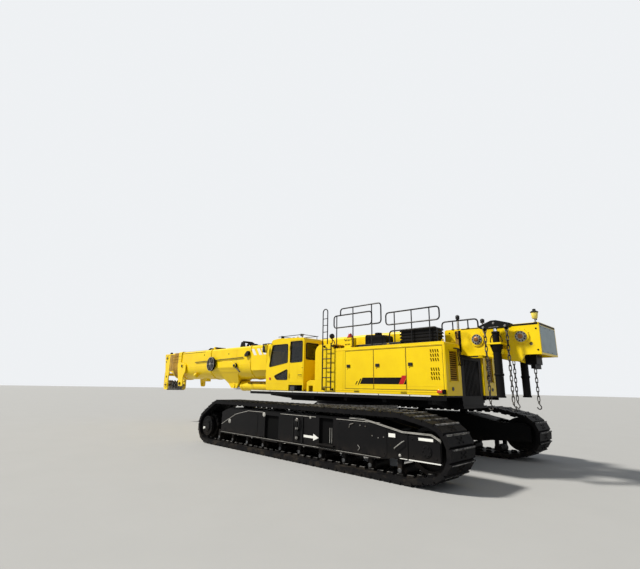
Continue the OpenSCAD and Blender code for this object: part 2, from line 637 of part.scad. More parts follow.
// Ends of the rails along X and the places of their posts
low_x = [-1790, -220];
low_posts = [-360];
double_x = [-2130, -500];
double_posts = [-1040, low_x[0] + rail_d / 2];
rail_2_x = [-3850, -2080];
rail_2_posts = [-2400, -2970, -3530];
guard_x = [-3770, -2200];
rail_3_posts = [-3900, -4330];
rail_post_d = rail_d - 8;
module rail_post(x, y, foot, top) post(x, y, foot, top - rail_d / 2, rail_post_d);
module roof_rails() color(black) place() {
    rail_loop(low_x[0], low_x[1], rail_y1, rail_z0, rail_z1);
    difference() {
        rail_loop(double_x[0], double_x[1], rail_y1, rail_z0, double_top);
        block(low_x[0] + rail_d / 2, double_x[1] + 1, rail_y1 - rail_d, rail_y1 + rail_d,
            rail_z0 - 1, rail_z1 - rail_d / 2);
    }
    for (x = low_posts) rail_post(x, rail_y1, house_top, rail_z1);
    for (x = double_posts) rail_post(x, rail_y1, house_top, double_top);
    rail_loop(rail_2_x[0], rail_2_x[1], rail_y2, rail_z0 - 40, rail_2_top);
    for (x = rail_2_posts) rail_post(x, rail_y2, house_top, rail_2_top);
    rail_arch(guard_x[0], guard_x[1], rail_y2, house_top, guard_top);
    rail_3_y = winch_in + winch_t / 2;
    rail_arch(rail_3_x[0], rail_3_x[1], rail_3_y, winch_top, rail_3_top);
    for (x = rail_3_posts) rail_post(x, rail_3_y, winch_top, rail_3_top);
}

// Boxes on the roof: an air cleaner housing and a louvred exhaust box
cleaner_x = [-2050, -1280];
exhaust_x = [-3700, -2530];
box_y0 = 740;
box_y1 = 1130;
box_top = 3580;
fins = 4;
module roof_boxes() color(black) place() {
    side_plate([[cleaner_x[1], house_top, 0], [cleaner_x[1], box_top - 30, 60],
        [cleaner_x[0], box_top - 90, 60],
        [cleaner_x[0], house_top, 0]], box_y0 + 20, box_y1);
    block(exhaust_x[0] + 40, exhaust_x[1] - 40, box_y0 + 20, box_y1 - 20, house_top, box_top - 20);
    fin_step = (box_top - 60 - house_top) / fins;
    for (i = [0:fins]) let (z = house_top + 10 + i * fin_step)
        side_plate([[exhaust_x[0], z, 0], [exhaust_x[1], z, 0], [exhaust_x[1] - 20, z + 50, 0],
        [exhaust_x[0] + 20, z + 50, 0]],
            box_y0, box_y1);
}

// Lamps: the lantern at the rear corner, two beacons on the winch frame and the cap on the roof's box.
// A beacon is a row of [x, foot, top]; the first stands on the rail
beacons = [[-4050, rail_3_top + seat, 3930], [-4720, winch_top, 3760]];
beacon_h = 100;
lantern_x = -winch_rear + 70;
module lamps() color(yellow) place() {
    y = winch_in + winch_t / 2;
    post(lantern_x, y, winch_top, winch_top + 90, 36);
    post(lantern_x, y, winch_top + 90, winch_top + 240, 150, 6);
    post(lantern_x, y, winch_top + 240, winch_top + 270, 180, 6);
    post(lantern_x, y, winch_top + 270, winch_top + 320, 80, 32);
    for (b = beacons) {
        post(b[0], y, b[1], b[2] - beacon_h, 38);
        post(b[0], y, b[2] - beacon_h, b[2], 110, 32);
    }
    translate([-lamp_box_x - lamp_box_l / 2, 1265, house_top + lamp_box_h])
        cylinder(h = 150, d1 = 200, d2 = 90, $fn = 32);
}

// Winch frame: two deep side plates with a closed rear end, cross tubes and the cylinders' brackets
winch_w = bay_w;
winch_in = winch_w - winch_t;
bearing_d = 260;
tube_ahead = 430;
tube_d = 140;
bracket_z = 3040;
bracket_t = 40;
bracket_half = 170;
module winch_frame() color(yellow) place() {
    difference() {
        both_sides() side_plate([[-winch_front, winch_top, 60], [-winch_rear, winch_top, 0],
            [-winch_rear, winch_bottom, 0], [-aux_winch_x - 40, winch_bottom, 40],
            [-aux_winch_x + 50, winch_bottom - 150, 50], [-aux_winch_x + 250, winch_bottom - 150, 80],
            [-main_winch_x - 120, winch_bottom + 20, 80], [-main_winch_x + 300, winch_bottom + 20, 40],
            [-deck_rear - 60, grille_z1 + 30, 0], [-winch_front, grille_z1 + 30, 0]], winch_in, winch_w);
        for (x = [-main_winch_x, -aux_winch_x]) disc_y(x, winch_z, -winch_w - 1, winch_w + 1, bearing_d);
        disc_y(-aux_winch_x - 200, winch_z - 180, -winch_w - 1, winch_w + 1, 80);
    }
    block(-winch_rear, -winch_rear + winch_t, -winch_in, winch_in, winch_bottom, winch_top);
    for (x = [-main_winch_x + tube_ahead, -main_winch_x - winch_gap / 2])
        disc_y(x, winch_z - 200, -winch_in, winch_in, tube_d);
    // Bearing rings and the brackets that carry the counterweight cylinders
    both_sides() for (x = [-main_winch_x, -aux_winch_x]) difference() {
        disc_y(x, winch_z, winch_w, winch_w + 30, bearing_d + 90, 64);
        disc_y(x, winch_z, winch_w - 1, winch_w + 31, bearing_d, 64);
    }
    both_sides() difference() {
        union() {
            block(-lift_x - bracket_half, -lift_x + bracket_half, winch_in, lift_y + bracket_half,
                bracket_z, bracket_z + bracket_t);
            block(-lift_x - 160, -lift_x + 160, winch_in, lift_y, winch_bottom + 20, winch_bottom + 130);
        }
        post(-lift_x, lift_y, winch_bottom, bracket_z, lift_d + 2 * seat, 48);
        post(-lift_x, lift_y, bracket_z - 1, bracket_z + bracket_t + 1, neck_d + 2 * seat, 48);
    }
}

// Winch drums with flanges and hubs that turn in the frame's bearings
module drum(x) {
    disc_y(x, winch_z, -winch_in + 60, winch_in - 60, drum_d, 64);
    for (s = [-1, 1]) {
        y = s * (winch_in - 40);
        disc_y(x, winch_z, min(y, y - s * 30), max(y, y - s * 30), flange_d, 64);
        disc_y(x, winch_z, min(y, s * (winch_w + 50)), max(y, s * (winch_w + 50)), bearing_d - 2 * fit, 48);
        disc_y(x, winch_z, min(s * (winch_w + 50), s * (winch_w + 80)),
            max(s * (winch_w + 50), s * (winch_w + 80)),
            bearing_d - 90, 48);
    }
}
module drum_main() color(steel) place() drum(-main_winch_x);
module drum_aux() color(steel) place() drum(-aux_winch_x);

// Counterweight gear: fixed barrels, and yokes on rods that lift the chains
barrel_bottom = 1800;
neck_d = 150;
neck_top = 3360;
yoke_z = 3440;
yoke_top = 3630;
chain_dx = [-270, 260];
lift_rod_d = 100;
lift_travel = 800;
lift_bore = lift_travel + 400;
module lift_barrels() color(black) place() both_sides() difference() {
    union() {
        post(-lift_x, lift_y, barrel_bottom, bracket_z - seat, lift_d, 48);
        post(-lift_x, lift_y, bracket_z - 1, neck_top, neck_d, 48);
        post(-lift_x, lift_y, barrel_bottom, barrel_bottom + 40, lift_d + 30, 48);
        post(-lift_x, lift_y, neck_top - 50, neck_top, neck_d + 40, 48);
    }
    post(-lift_x, lift_y, neck_top - lift_bore, neck_top + 1, lift_rod_d + 2, 48);
}
module lift_yokes() color(black) place() both_sides() {
    post(-lift_x, lift_y, neck_top - lift_bore + 10, yoke_z, lift_rod_d, 48);
    side_plate([[-lift_x - 330, yoke_z, 40], [-lift_x + 330, yoke_z, 40], [-lift_x + 420, yoke_z + 60, 30],
        [-lift_x + 60, yoke_top, 40], [-lift_x - 60, yoke_top, 40], [-lift_x - 430, yoke_z + 80, 30]],
        lift_y - 90, lift_y + 90);
    for (dx = chain_dx)
        block(-lift_x + dx - 30, -lift_x + dx + 30, lift_y - 20, lift_y + 20, chain_z, yoke_z);
}
// Chains of separate links, each through the one above and turned a quarter to it, with a hook at the end.
// A link bulges towards its middle, and its hole lets the next link's bar through
link_t = 26;
link_room = 2;
link_hole = link_t / 2 + link_room;
link_half = link_hole + link_t;
link_end = link_hole + link_t / 2;
link_step = link_l - 2 * link_t - seat;
chain_z = yoke_z - 50;
hook_l = 200;
module link(z, quarter) translate([0, 0, z]) rotate([0, 0, quarter ? 90 : 0]) rotate([90, 0, 0])
    translate([0, 0, -link_t / 2]) linear_extrude(link_t) difference() {
        polygon([[-link_end, 0], [link_end, 0], [link_half, -link_l / 2], [link_end, -link_l],
            [-link_end, -link_l], [-link_half, -link_l / 2]]);
        translate([-link_hole, -link_l + link_t]) square([2 * link_hole, link_l - 2 * link_t]);
    }
module hook(z) translate([0, link_t / 2, z]) rotate([90, 0, 0]) linear_extrude(link_t)
    polygon([[-30, 0], [30, 0], [40, -90], [-10, -110], [-20, -150], [20, -160], [60, -120], [80, -150],
    [30, -hook_l],
        [-50, -hook_l + 10], [-70, -120]]);
module lift_chains() color(black) place() both_sides() for (dx = chain_dx)
    translate([-lift_x + dx, lift_y, 0]) {
    for (i = [0:link_count - 1]) link(chain_z - i * link_step, i % 2 == 0);
    hook(chain_z - (link_count - 1) * link_step - link_l + link_t / 2);
}

// Cab: a hollow shell in the outline of its side view, with the windows and the doorway cut out of it
cab_z = deck_top + cab_lift;
cab_front = cab_x + cab_l;
cab_top = cab_z + cab_h;
cab_rows = [[cab_x, cab_z, 60], [cab_front - 60, cab_z, 40], [cab_front, cab_z + 560, 60],
    [cab_front - 10, cab_z + 900, 200], [cab_front - 110, cab_z + 1380, 300],
    [cab_front - 300, cab_top - 40, 150],
    [cab_front - 700, cab_top, 300], [cab_x, cab_top - 50, 90]];
cab_inner_rows = [[cab_x + cab_t, cab_z + cab_t, 40], [cab_front - 60 - cab_t, cab_z + cab_t, 20],
    [cab_front - cab_t, cab_z + 560, 40], [cab_front - 10 - cab_t, cab_z + 900, 180],
    [cab_front - 110 - cab_t, cab_z + 1380, 270], [cab_front - 300 - cab_t / 2, cab_top - 40 - cab_t, 110],
    [cab_front - 700, cab_top - cab_t, 250], [cab_x + cab_t, cab_top - 50 - cab_t, 60]];
doorway_x0 = cab_x + 40;
doorway_x1 = doorway_x0 + cab_door_l;
doorway_z0 = cab_z + 250;
doorway_z1 = cab_top - 120;
side_window = [[doorway_x1 + 100, cab_z + 960, 40], [cab_front - 190, cab_z + 820, 50],
    [cab_front - 350, cab_top - 230, 90], [doorway_x1 + 110, cab_top - 230, 60]];
low_window = [[doorway_x1 + 90, cab_z + 370, 20], [cab_front - 640, cab_z + 370, 40],
    [cab_front - 500, cab_z + 490, 20], [doorway_x1 + 100, cab_z + 720, 20]];
door_window = [[doorway_x0 + 40, cab_z + 970, 70], [doorway_x1 - 40, cab_z + 950, 20],
    [doorway_x1 - 40, doorway_z1 - 40, 20], [doorway_x0 + 45, doorway_z1 - 40, 40]];
front_window = [[cab_in + 90, cab_z + 480, 60], [cab_y - 90, cab_z + 480, 60],
    [cab_y - 90, cab_z + 1440, 60],
    [cab_in + 90, cab_z + 1440, 60]];
roof_window = [[cab_front - 980, cab_in + 160, 60], [cab_front - 560, cab_in + 160, 60],
    [cab_front - 560, cab_y - 160, 60], [cab_front - 980, cab_y - 160, 60]];
rear_window = [[cab_in + 150, cab_z + 1050, 60], [cab_y - 100, cab_z + 1050, 60],
    [cab_y - 90, cab_top - 230, 60], [cab_in + 150, cab_top - 230, 60]];
// The cab tips back on two round feet at its rear and rests on pads at its front
tilt_x = cab_x + 60;
foot_d = 80;
rim_w = 26;
rim_t = 14;
function doorway(grow) = [[doorway_x0 - grow, doorway_z0 - grow, 30],
    [doorway_x1 + grow, doorway_z0 - grow, 30],
    [doorway_x1 + grow, doorway_z1 + grow, 50], [doorway_x0 - grow, doorway_z1 + grow, 50]];
// Hinges at the door's front edge, whose knuckles stand off the wall. The door's own knuckle lies between
// two fixed ones
hinge_x = doorway_x1 - door_gap;
hinge_out = 16;
hinge_zs = [doorway_z0 + 180, doorway_z1 - 330];
knuckle_d = 26;
knuckle_l = 50;
leaf_t = 6;
leaf_l = 30;
module knuckle(z0, z1, leaf_x) {
    post(hinge_x, cab_y + hinge_out, z0, z1, knuckle_d);
    block(min(hinge_x, leaf_x), max(hinge_x, leaf_x), cab_y - 1, cab_y + leaf_t, z0, z1);
}
module cab_shell() color(yellow) place() {
    cab_walls();
    for (z = hinge_zs) for (dz = [0, 2 * knuckle_l])
        knuckle(z + dz, z + dz + knuckle_l, doorway_x1 + leaf_l);
    // Feet and pads
    for (y = [cab_in + 60, cab_y - 140]) {
        disc_y(tilt_x, deck_top + seat + foot_d / 2, y, y + 80, foot_d);
        block(cab_front - 330, cab_front - 230, y, y + 80, deck_top + seat, cab_z + 10);
    }
    // Rim that the door shuts against
    difference() {
        side_plate(doorway(rim_w), cab_y - cab_t - rim_t, cab_y - cab_t);
        side_plate(doorway(-rim_w), cab_y - cab_t - rim_t - 1, cab_y - cab_t + 1);
    }
}
module cab_walls() difference() {
    side_plate(cab_rows, cab_in, cab_y);
    side_plate(cab_inner_rows, cab_in + cab_t, cab_y - cab_t);
    side_plate(doorway(0), cab_y - cab_t - 1, cab_y + 1);
    for (rows = [side_window, low_window]) side_plate(rows, cab_y - cab_t - 1, cab_y + 1);
    side_plate(side_window, cab_in - 1, cab_in + cab_t + 1);
    front_plate(front_window, cab_front - 420, cab_front + 1);
    front_plate(rear_window, cab_x - 1, cab_x + cab_t + 1);
    translate([0, 0, cab_top - 80]) linear_extrude(81) polygon(outline(roof_window));
    // Step notch under the doorway
    block(doorway_x0, doorway_x1 + 10, cab_y - 120, cab_y + 1, cab_z - 1, doorway_z0 - 60);
}
// Panes lie in the middle of the shell's wall
pane_t = 8;
pane_in = (cab_t - pane_t) / 2;
module cab_glass() color(dark_glass) place() {
    for (rows = [side_window, low_window]) side_plate(rows, cab_y - pane_in - pane_t, cab_y - pane_in);
    side_plate(side_window, cab_in + pane_in, cab_in + pane_in + pane_t);
    front_plate(rear_window, cab_x + pane_in, cab_x + pane_in + pane_t);
    translate([0, 0, cab_top - 34]) linear_extrude(pane_t) polygon(outline(roof_window));
    intersection() {
        front_plate(front_window, cab_front - 420, cab_front + 1);
        difference() {
            side_plate(cab_rows, cab_in, cab_y);
            translate([-pane_t, 0, -2]) side_plate(cab_rows, cab_in - 1, cab_y + 1);
        }
    }
}
module cab_seat() color(black) place() {
    mid = (cab_in + cab_y) / 2;
    seat_x = cab_x + 350;
    floor_z = cab_z + cab_t;
    block(seat_x, seat_x + 420, mid - 200, mid + 200, floor_z, floor_z + 330);
    side_plate([[seat_x - 40, floor_z + 330, 30], [seat_x + 520, floor_z + 330, 50],
        [seat_x + 520, floor_z + 470, 60],
        [seat_x + 120, floor_z + 450, 30], [seat_x, floor_z + 1080, 60], [seat_x - 130, floor_z + 1060, 40]],
        mid - 240, mid + 240);
    for (s = [-1, 1]) side_plate([[seat_x + 40, floor_z, 0], [seat_x + 700, floor_z, 0],
        [seat_x + 700, floor_z + 560, 60], [seat_x + 160, floor_z + 640, 60]], mid + s * 300 - 50,
        mid + s * 300 + 50);
}
// Guard rails on the cab's roof, and the mirror on its arm
rail_up = 70;
function roof_z(x) = cab_top - 50 * (cab_front - 700 - x) / (cab_l - 700);
module cab_roof_gear() color(black) place() {
    xs = [cab_x + 180, cab_front - 740];
    for (y = [cab_in + 70, cab_y - 70]) {
        bar([xs[0] - 60, y, cab_top + rail_up], [xs[1] + 160, y, cab_top + rail_up], 24);
        for (x = xs) post(x, y, roof_z(x) + 2 * seat, cab_top + rail_up, 22);
    }
    for (x = xs) bar([x, cab_in + 70, cab_top + rail_up], [x, cab_y - 70, cab_top + rail_up], 20);
    arm = [cab_front - 290, cab_y + 170, cab_top - 170];
    bar([arm[0], cab_y + seat, arm[2]], arm, 24);
    bar(arm, [cab_front - 70, arm[1], arm[2]], 22);
    block(cab_front - 92, cab_front - 52, cab_y + 70, cab_y + 250, cab_top - 490, cab_top - 175);
}
module cab_door() color(yellow) place() {
    difference() {
        side_plate(doorway(-door_gap), cab_y - cab_t + seat, cab_y);
        side_plate(door_window, cab_y - cab_t - 1, cab_y + 1);
    }
    for (z = hinge_zs) knuckle(z + knuckle_l + seat, z + 2 * knuckle_l - seat, hinge_x - leaf_l);
}
module cab_door_glass() color(dark_glass) place()
    side_plate(door_window, cab_y - pane_in - pane_t, cab_y - pane_in);

// Boom. Each section is a tube, flat on top and a true half circle below, that runs inside the last
section_step = boom_t + boom_gap;
module boom_profile(w, z0, z1) {
    translate([0, z0 + w / 2]) circle(d = w, $fn = 96);
    translate([-w / 2, z0 + w / 2]) square([w, z1 - z0 - w / 2 - 90]);
    translate([-w / 2 + 90, z1 - 200]) square([w - 180, 200]);
    for (x = [-w / 2 + 90, w / 2 - 90]) translate([x, z1 - 90]) circle(r = 90, $fn = 48);
}
// Tube of section k, counted from 0 at the base, from x0 to x1; grow makes it wider all round
module boom_tube(k, x0, x1, grow = 0, wall = boom_t) {
    inset = k * section_step - grow;
    translate([x0, 0, 0]) rotate([90, 0, 90]) linear_extrude(x1 - x0) difference() {
        boom_profile(boom_w - 2 * inset, boom_bottom + inset, boom_top - inset);
        boom_profile(boom_w - 2 * (inset + wall), boom_bottom + inset + wall, boom_top - inset - wall);
    }
}
nose_l = 330;
ear_bottom = 1880;
ear_y = boom_w / 2 + 40;
ear_t = 35;
boss_t = 20;
ear_hole = [boom_nose - 490, 2020];
nose_hole = [boom_nose - 570, 2920];
jacket_t = 12;
luff_lug_y0 = 190;
luff_lug_t = 70;
saddle_front = 8600;
saddle_rear = 6400;
saddle_half = boom_w / 2 + 24;
pad_l = 160;
pad_z0 = boom_top - 620;
// Slide pads in front inside a section, or on the rear of one, on its flat sides and top
module pads_inside(k, x1) {
    w = boom_w / 2 - k * section_step - boom_t;
    both_sides() block(x1 - pad_l, x1, w - boom_gap + seat, w, pad_z0, pad_z0 + 300);
    both_sides() block(x1 - pad_l, x1, 120, 320, boom_top - k * section_step - boom_t - boom_gap + seat,
        boom_top - k * section_step - boom_t);
}
module pads_outside(k, x0) {
    w = boom_w / 2 - k * section_step;
    both_sides() block(x0, x0 + pad_l, w, w + boom_gap - seat, pad_z0, pad_z0 + 300);
    both_sides()
        block(x0, x0 + pad_l, 120, 320, boom_top - k * section_step,
        boom_top - k * section_step + boom_gap - seat);
}
module boom_base() color(yellow) place() {
    difference() {
        union() {
            boom_tube(0, -boom_rear, boom_nose);
            // Closed foot behind the tube
            both_sides() side_plate([[-boom_rear, boom_bottom + 300, 0], [-boom_rear, boom_top, 0],
                [-foot_pin_x, foot_pin_z + 300, 240], [-foot_pin_x - 260, foot_pin_z, 200],
                [-foot_pin_x, foot_pin_z - 300, 240]], boom_w / 2 - 130, boom_w / 2);
        }
        disc_y(-foot_pin_x, foot_pin_z, -boom_w, boom_w, foot_pin_d + 2 * fit);
    }
    pads_inside(0, boom_nose);
    // Stiffening rings, and the nose collar with its hanging ears
    for (x = [[4270, 60], [5400, 60], [8700, 60], [boom_nose - nose_l, nose_l]])
        boom_tube(0, x[0], x[0] + x[1], x[1] > 100 ? 40 : 22, x[1] > 100 ? 40 : 22);
    both_sides() difference() {
        union() {
            side_plate([[boom_nose - 20, 3100, 60], [boom_nose - 80, 2750, 120],
                [boom_nose - 240, 2200, 200],
                [boom_nose - 340, ear_bottom, 110], [boom_nose - 770, ear_bottom, 110],
                [boom_nose - 740, 2380, 120],
                [boom_nose - 960, 2650, 120], [boom_nose - 950, 2980, 120], [boom_nose - 600, 3100, 100]],
                ear_y, ear_y + ear_t);
            disc_y(ear_hole[0], ear_hole[1], ear_y, ear_y + ear_t + boss_t, 2 * ear_bore_d + 20);
            disc_y(nose_hole[0], nose_hole[1], ear_y - 39, ear_y + ear_t + boss_t, 200);
        }
        disc_y(ear_hole[0], ear_hole[1], 0, boom_w, ear_bore_d);
    }
    // Jacket plates that stiffen the sides ahead of the bay
    both_sides()
        side_plate([[1000, 2600, 0], [5330, 2600, 80], [5400, 3000, 300], [5380, 3400, 60], [1000, 3400, 0]],
        boom_w / 2 - 1, boom_w / 2 + jacket_t);
    // Rest block under the tube
    block(9800, 10150, -110, 110, boom_bottom - 110, boom_bottom + 10);
    // Saddle under the tube, narrowing down to two lugs beside the luffing cylinder's eye
    difference() {
        intersection() {
            side_plate([[saddle_front, 2750, 60], [saddle_front - 900, boom_bottom - 60, 200],
                [eye_x + 210, eye_z - 110, 90], [eye_x - 210, eye_z - 110, 90],
                [saddle_rear + 200, boom_bottom, 100],
                [saddle_rear, 2750, 60], [saddle_rear + 600, 3060, 60], [saddle_front - 1000, 3060, 60]],
                -saddle_half, saddle_half);
            front_plate([[saddle_half, 3100, 0], [-saddle_half, 3100, 0], [-saddle_half, 2760, 120],
                [-luff_lug_y0 - luff_lug_t, eye_z + 100, 60], [-luff_lug_y0 - luff_lug_t, eye_z - 120, 0],
                [luff_lug_y0 + luff_lug_t, eye_z - 120, 0], [luff_lug_y0 + luff_lug_t, eye_z + 100, 60],
                [saddle_half, 2760, 120]], saddle_rear, saddle_front);
        }
        translate([saddle_rear - 1, 0, 0]) rotate([90, 0, 90]) linear_extrude(saddle_front - saddle_rear + 2)
            boom_profile(boom_w - boom_t, boom_bottom + boom_t / 2, boom_top);
        block(saddle_rear - 1, eye_x + 420, -luff_lug_y0, luff_lug_y0, eye_z - 200, boom_bottom - 40);
        block(saddle_rear - 1, eye_x - 380, -barrel_d / 2 - 25, barrel_d / 2 + 25, eye_z - 200,
            boom_bottom - 20);
    }
    both_sides()
        disc_y(eye_x, eye_z, luff_lug_y0 + luff_lug_t, luff_lug_y0 + luff_lug_t + 30, luff_pin_d + 60);
}
// Long pipe with its clips, a hose bracket, a locking pin's boss and guide rollers on the boom's top
pipe_x = [5950, 10190];
pipe_z = [3170, 3070];
function pipe_at(x) = pipe_z[0] + (pipe_z[1] - pipe_z[0]) * (x - pipe_x[0]) / (pipe_x[1] - pipe_x[0]);
boss_at = [6510, 2830];
roller_xs = [5900, 8900];
module boom_fittings() color(black) place() {
    side = boom_w / 2;
    y = side + 40;
    bar([pipe_x[0], y, pipe_z[0]], [pipe_x[1], y, pipe_z[1]], 36);
    for (x = [pipe_x[0] + 60, 7450, 9300, pipe_x[1] - 60])
        bar([x, side, pipe_at(x)], [x, y, pipe_at(x)], 30);
    side_plate([[5480, 3420, 20], [5480, 3230, 40], [5760, 3180, 40], [5760, 3290, 40], [5590, 3420, 40]],
        side + 20, side + 110);
    block(5500, 5560, side, side + 21, 3260, 3400);
    disc_y(boss_at[0], boss_at[1], side + 24, side + 90, 230);
    disc_y(boss_at[0], boss_at[1], side + 90, side + 130, 120);
    bar([boss_at[0] - 60, side + 60, boss_at[1] - 60], [boss_at[0] - 400, side + 60, boss_at[1] - 280], 50);
    for (x = roller_xs) {
        for (y = [-200, 180]) block(x - 60, x + 60, y, y + 20, boom_top, boom_top + 130);
        disc_y(x, boom_top + 80, -180, 180, 90);
    }
    disc_y(reel_x, reel_z, side, side + reel_foot - seat, 220);
}
// The cable reel turns on a fixed foot at the boom's side
reel_x = 8470;
reel_z = 2940;
reel_d = 660;
reel_foot = 45;
reel_y0 = boom_w / 2 + 70;
reel_y1 = boom_w / 2 + 150;
reel_t = 14;
module cable_reel() color(black) place() {
    disc_y(reel_x, reel_z, boom_w / 2 + reel_foot, reel_y0, 160);
    for (y = [reel_y0, reel_y1]) disc_y(reel_x, reel_z, y, y + reel_t, reel_d, 64);
    disc_y(reel_x, reel_z, reel_y0 + reel_t, reel_y1, reel_d - 200, 64);
}
// Section k slides out of section k - 1 and carries a collar ahead of the nose
function collar_x(k) = boom_nose + room + (k - 1) * (collar_l + room);
module boom_section(k) {
    x0 = -boom_rear + 100 + 60 * k;
    boom_tube(k, x0, collar_x(k) + collar_l);
    pads_outside(k, x0);
    if (k < sections) pads_inside(k, collar_x(k) + collar_l);
    boom_tube(k, collar_x(k), collar_x(k) + collar_l, (k - 0.5) * section_step + 20,
        (k - 0.5) * section_step + 20);
}
module boom_section_2() color(yellow) place() boom_section(1);
module boom_section_3() color(yellow) place() boom_section(2);
module boom_section_4() color(yellow) place() boom_section(3);
module boom_section_5() color(yellow) place() boom_section(4);

// The last section carries the head: two tall cheek plates with sheaves between them at both ends
head_x = collar_x(sections) + collar_l;
cheek_y = 500;
cheek_t = 50;
arm_x1 = head_front - 220;
sheave_x = arm_x1 - arm_l / 2;
sheave_z = arm_bottom + sheave_d / 2;
guide_d = 400;
guide_sheave_x = head_front - 300;
guide_sheave_z = boom_top - 240;
head_pin_d = 120;
head_top = boom_top - 20;
module boom_section_6() color(yellow) place() {
    boom_section(sections);
    both_sides() difference() {
        union() {
            side_plate([[head_x, head_top - 10, 0], [head_front, head_top, 50], [arm_x1 + 40, 2750, 200],
                [arm_x1, arm_bottom, 110], [arm_x1 - arm_l, arm_bottom, 110],
                [arm_x1 - arm_l + 40, 2420, 120],
                [arm_x1 - arm_l - 30, 2700, 100], [head_x, 2560, 0]], cheek_y, cheek_y + cheek_t);
            disc_y(sheave_x, sheave_z, cheek_y, cheek_y + cheek_t + 20, 300);
        }
        disc_y(sheave_x, sheave_z, 0, boom_w, head_pin_d + 2 * fit);
        disc_y(guide_sheave_x, guide_sheave_z, 0, boom_w, head_pin_d + 2 * fit);
    }
    // End plate, cross tubes between the cheeks and the top cover
    block(head_x, head_x + 40, -cheek_y, cheek_y, 2560, head_top - 10);
    disc_y(sheave_x + 60, 2500, -cheek_y, cheek_y, 150);
    disc_y(head_x + 250, 3050, -cheek_y, cheek_y, 150);
    block(head_x + 40, guide_sheave_x - guide_d / 2 - 80, -cheek_y, cheek_y, head_top - 60, head_top - 30);
}
sheave_w = 70;
module sheave(x, y, z, d) translate([x, y + sheave_w / 2, z]) rotate([90, 0, 0]) rotate_extrude($fn = 48)
    polygon([[head_pin_d / 2, 0], [d / 2, 0], [d / 2 - 45, sheave_w / 2], [d / 2, sheave_w],
    [head_pin_d / 2, sheave_w]]);
module sheave_set(x, z, d, ys) {
    disc_y(x, z, -cheek_y - cheek_t - 40, cheek_y + cheek_t + 40, head_pin_d);
    for (y = ys) sheave(x, y, z, d);
}
module head_sheaves() color(steel) place()
    sheave_set(sheave_x, sheave_z, sheave_d, [for (i = [-2:2]) i * 160]);
module guide_sheaves() color(steel) place() sheave_set(guide_sheave_x, guide_sheave_z, guide_d, [-120, 120]);

// Luffing cylinder, lying between its pins at rest
luff_v = [eye_x - luff_x, 0, eye_z - luff_z];
luff_rest = norm(luff_v);
luff_tilt = atan2(luff_v[2], luff_v[0]);
eye_w = 2 * clevis_y0 - 2 * room;
barrel_l = luff_rest - 420;
barrel_x0 = 400;
neck_half = clevis_y0 - room;
module along_cylinder() translate([luff_x, 0, luff_z]) rotate([0, -luff_tilt, 0]) children();
module luff_barrel() color(yellow) place() along_cylinder() difference() {
    union() {
        disc_y(0, 0, -eye_w / 2, eye_w / 2, 380);
        disc_x(0, 0, 100, barrel_x0 + 10, 2 * neck_half - 24, 64);
        disc_x(0, 0, barrel_x0, barrel_l, barrel_d, 64);
        disc_x(0, 0, barrel_l - 160, barrel_l, barrel_d + 16, 64);
    }
    disc_y(0, 0, -eye_w, eye_w, luff_pin_d + 2 * fit);
    disc_x(0, 0, barrel_x0 + 60, barrel_l + 1, rod_d + 2, 64);
}
module luff_rod() color(steel) place() along_cylinder() {
    disc_x(0, 0, barrel_x0 + 90, luff_rest - 120, rod_d, 64);
    disc_y(luff_rest, 0, -luff_lug_y0 + room, luff_lug_y0 - room, 340);
}

carbody();
slewing_ring();
track_frame_left();
track_frame_right();
track_left();
track_right();
rollers_left();
rollers_right();
upper_frame();
decks();
house_left();
house_right();
engine();
rear_grille();
ladder();
roof_rails();
roof_boxes();
lamps();
winch_frame();
lift_barrels();
door_left_1();
door_left_2();
door_left_3();
door_right_1();
door_right_2();
door_right_3();
cab_shell();
cab_glass();
cab_seat();
cab_roof_gear();
cab_door();
cab_door_glass();
boom_base();
boom_fittings();
cable_reel();
boom_section_2();
boom_section_3();
boom_section_4();
boom_section_5();
boom_section_6();
head_sheaves();
guide_sheaves();
luff_barrel();
luff_rod();
drum_main();
drum_aux();
lift_yokes();
lift_chains();
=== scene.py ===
"""Crawler crane with a telescopic boom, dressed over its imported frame.

Sizes are metres. X is counted from the slewing axis towards the boom's head, Y points to the cab side
and Z is the height over the ground; at() turns such a place into the frame's own.
"""
import json
from math import cos, exp, pi, radians, sin

import bmesh
import bpy
from mathutils import Matrix, Vector


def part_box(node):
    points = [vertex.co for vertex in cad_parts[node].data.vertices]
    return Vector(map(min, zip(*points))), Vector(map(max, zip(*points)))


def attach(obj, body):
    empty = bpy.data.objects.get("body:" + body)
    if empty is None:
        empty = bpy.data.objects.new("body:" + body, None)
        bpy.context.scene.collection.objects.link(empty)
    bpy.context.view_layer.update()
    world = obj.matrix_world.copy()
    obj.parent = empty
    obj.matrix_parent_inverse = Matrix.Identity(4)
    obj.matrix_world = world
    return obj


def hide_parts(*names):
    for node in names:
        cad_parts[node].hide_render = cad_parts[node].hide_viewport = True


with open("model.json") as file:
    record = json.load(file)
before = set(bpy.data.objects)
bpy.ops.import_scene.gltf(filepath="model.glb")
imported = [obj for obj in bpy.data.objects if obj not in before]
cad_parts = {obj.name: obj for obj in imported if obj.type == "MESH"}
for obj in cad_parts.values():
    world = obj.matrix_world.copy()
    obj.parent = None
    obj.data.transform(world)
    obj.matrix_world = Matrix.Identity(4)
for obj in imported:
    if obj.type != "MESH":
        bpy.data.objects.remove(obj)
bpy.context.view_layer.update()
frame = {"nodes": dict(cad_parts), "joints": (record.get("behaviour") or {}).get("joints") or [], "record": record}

nodes = frame["nodes"]
AXIS_X = next(j for j in frame["joints"] if j["name"] == "slew")["pos_m"][0]
LOWER, UPPER = "undercarriage", "superstructure"
AHEAD, BACK, OUT, UP = (1, 0, 0), (-1, 0, 0), (0, 1, 0), (0, 0, 1)


def at(x, y, z):
    """A place counted from the slewing axis, in the frame."""
    return Vector((x + AXIS_X, y, z))


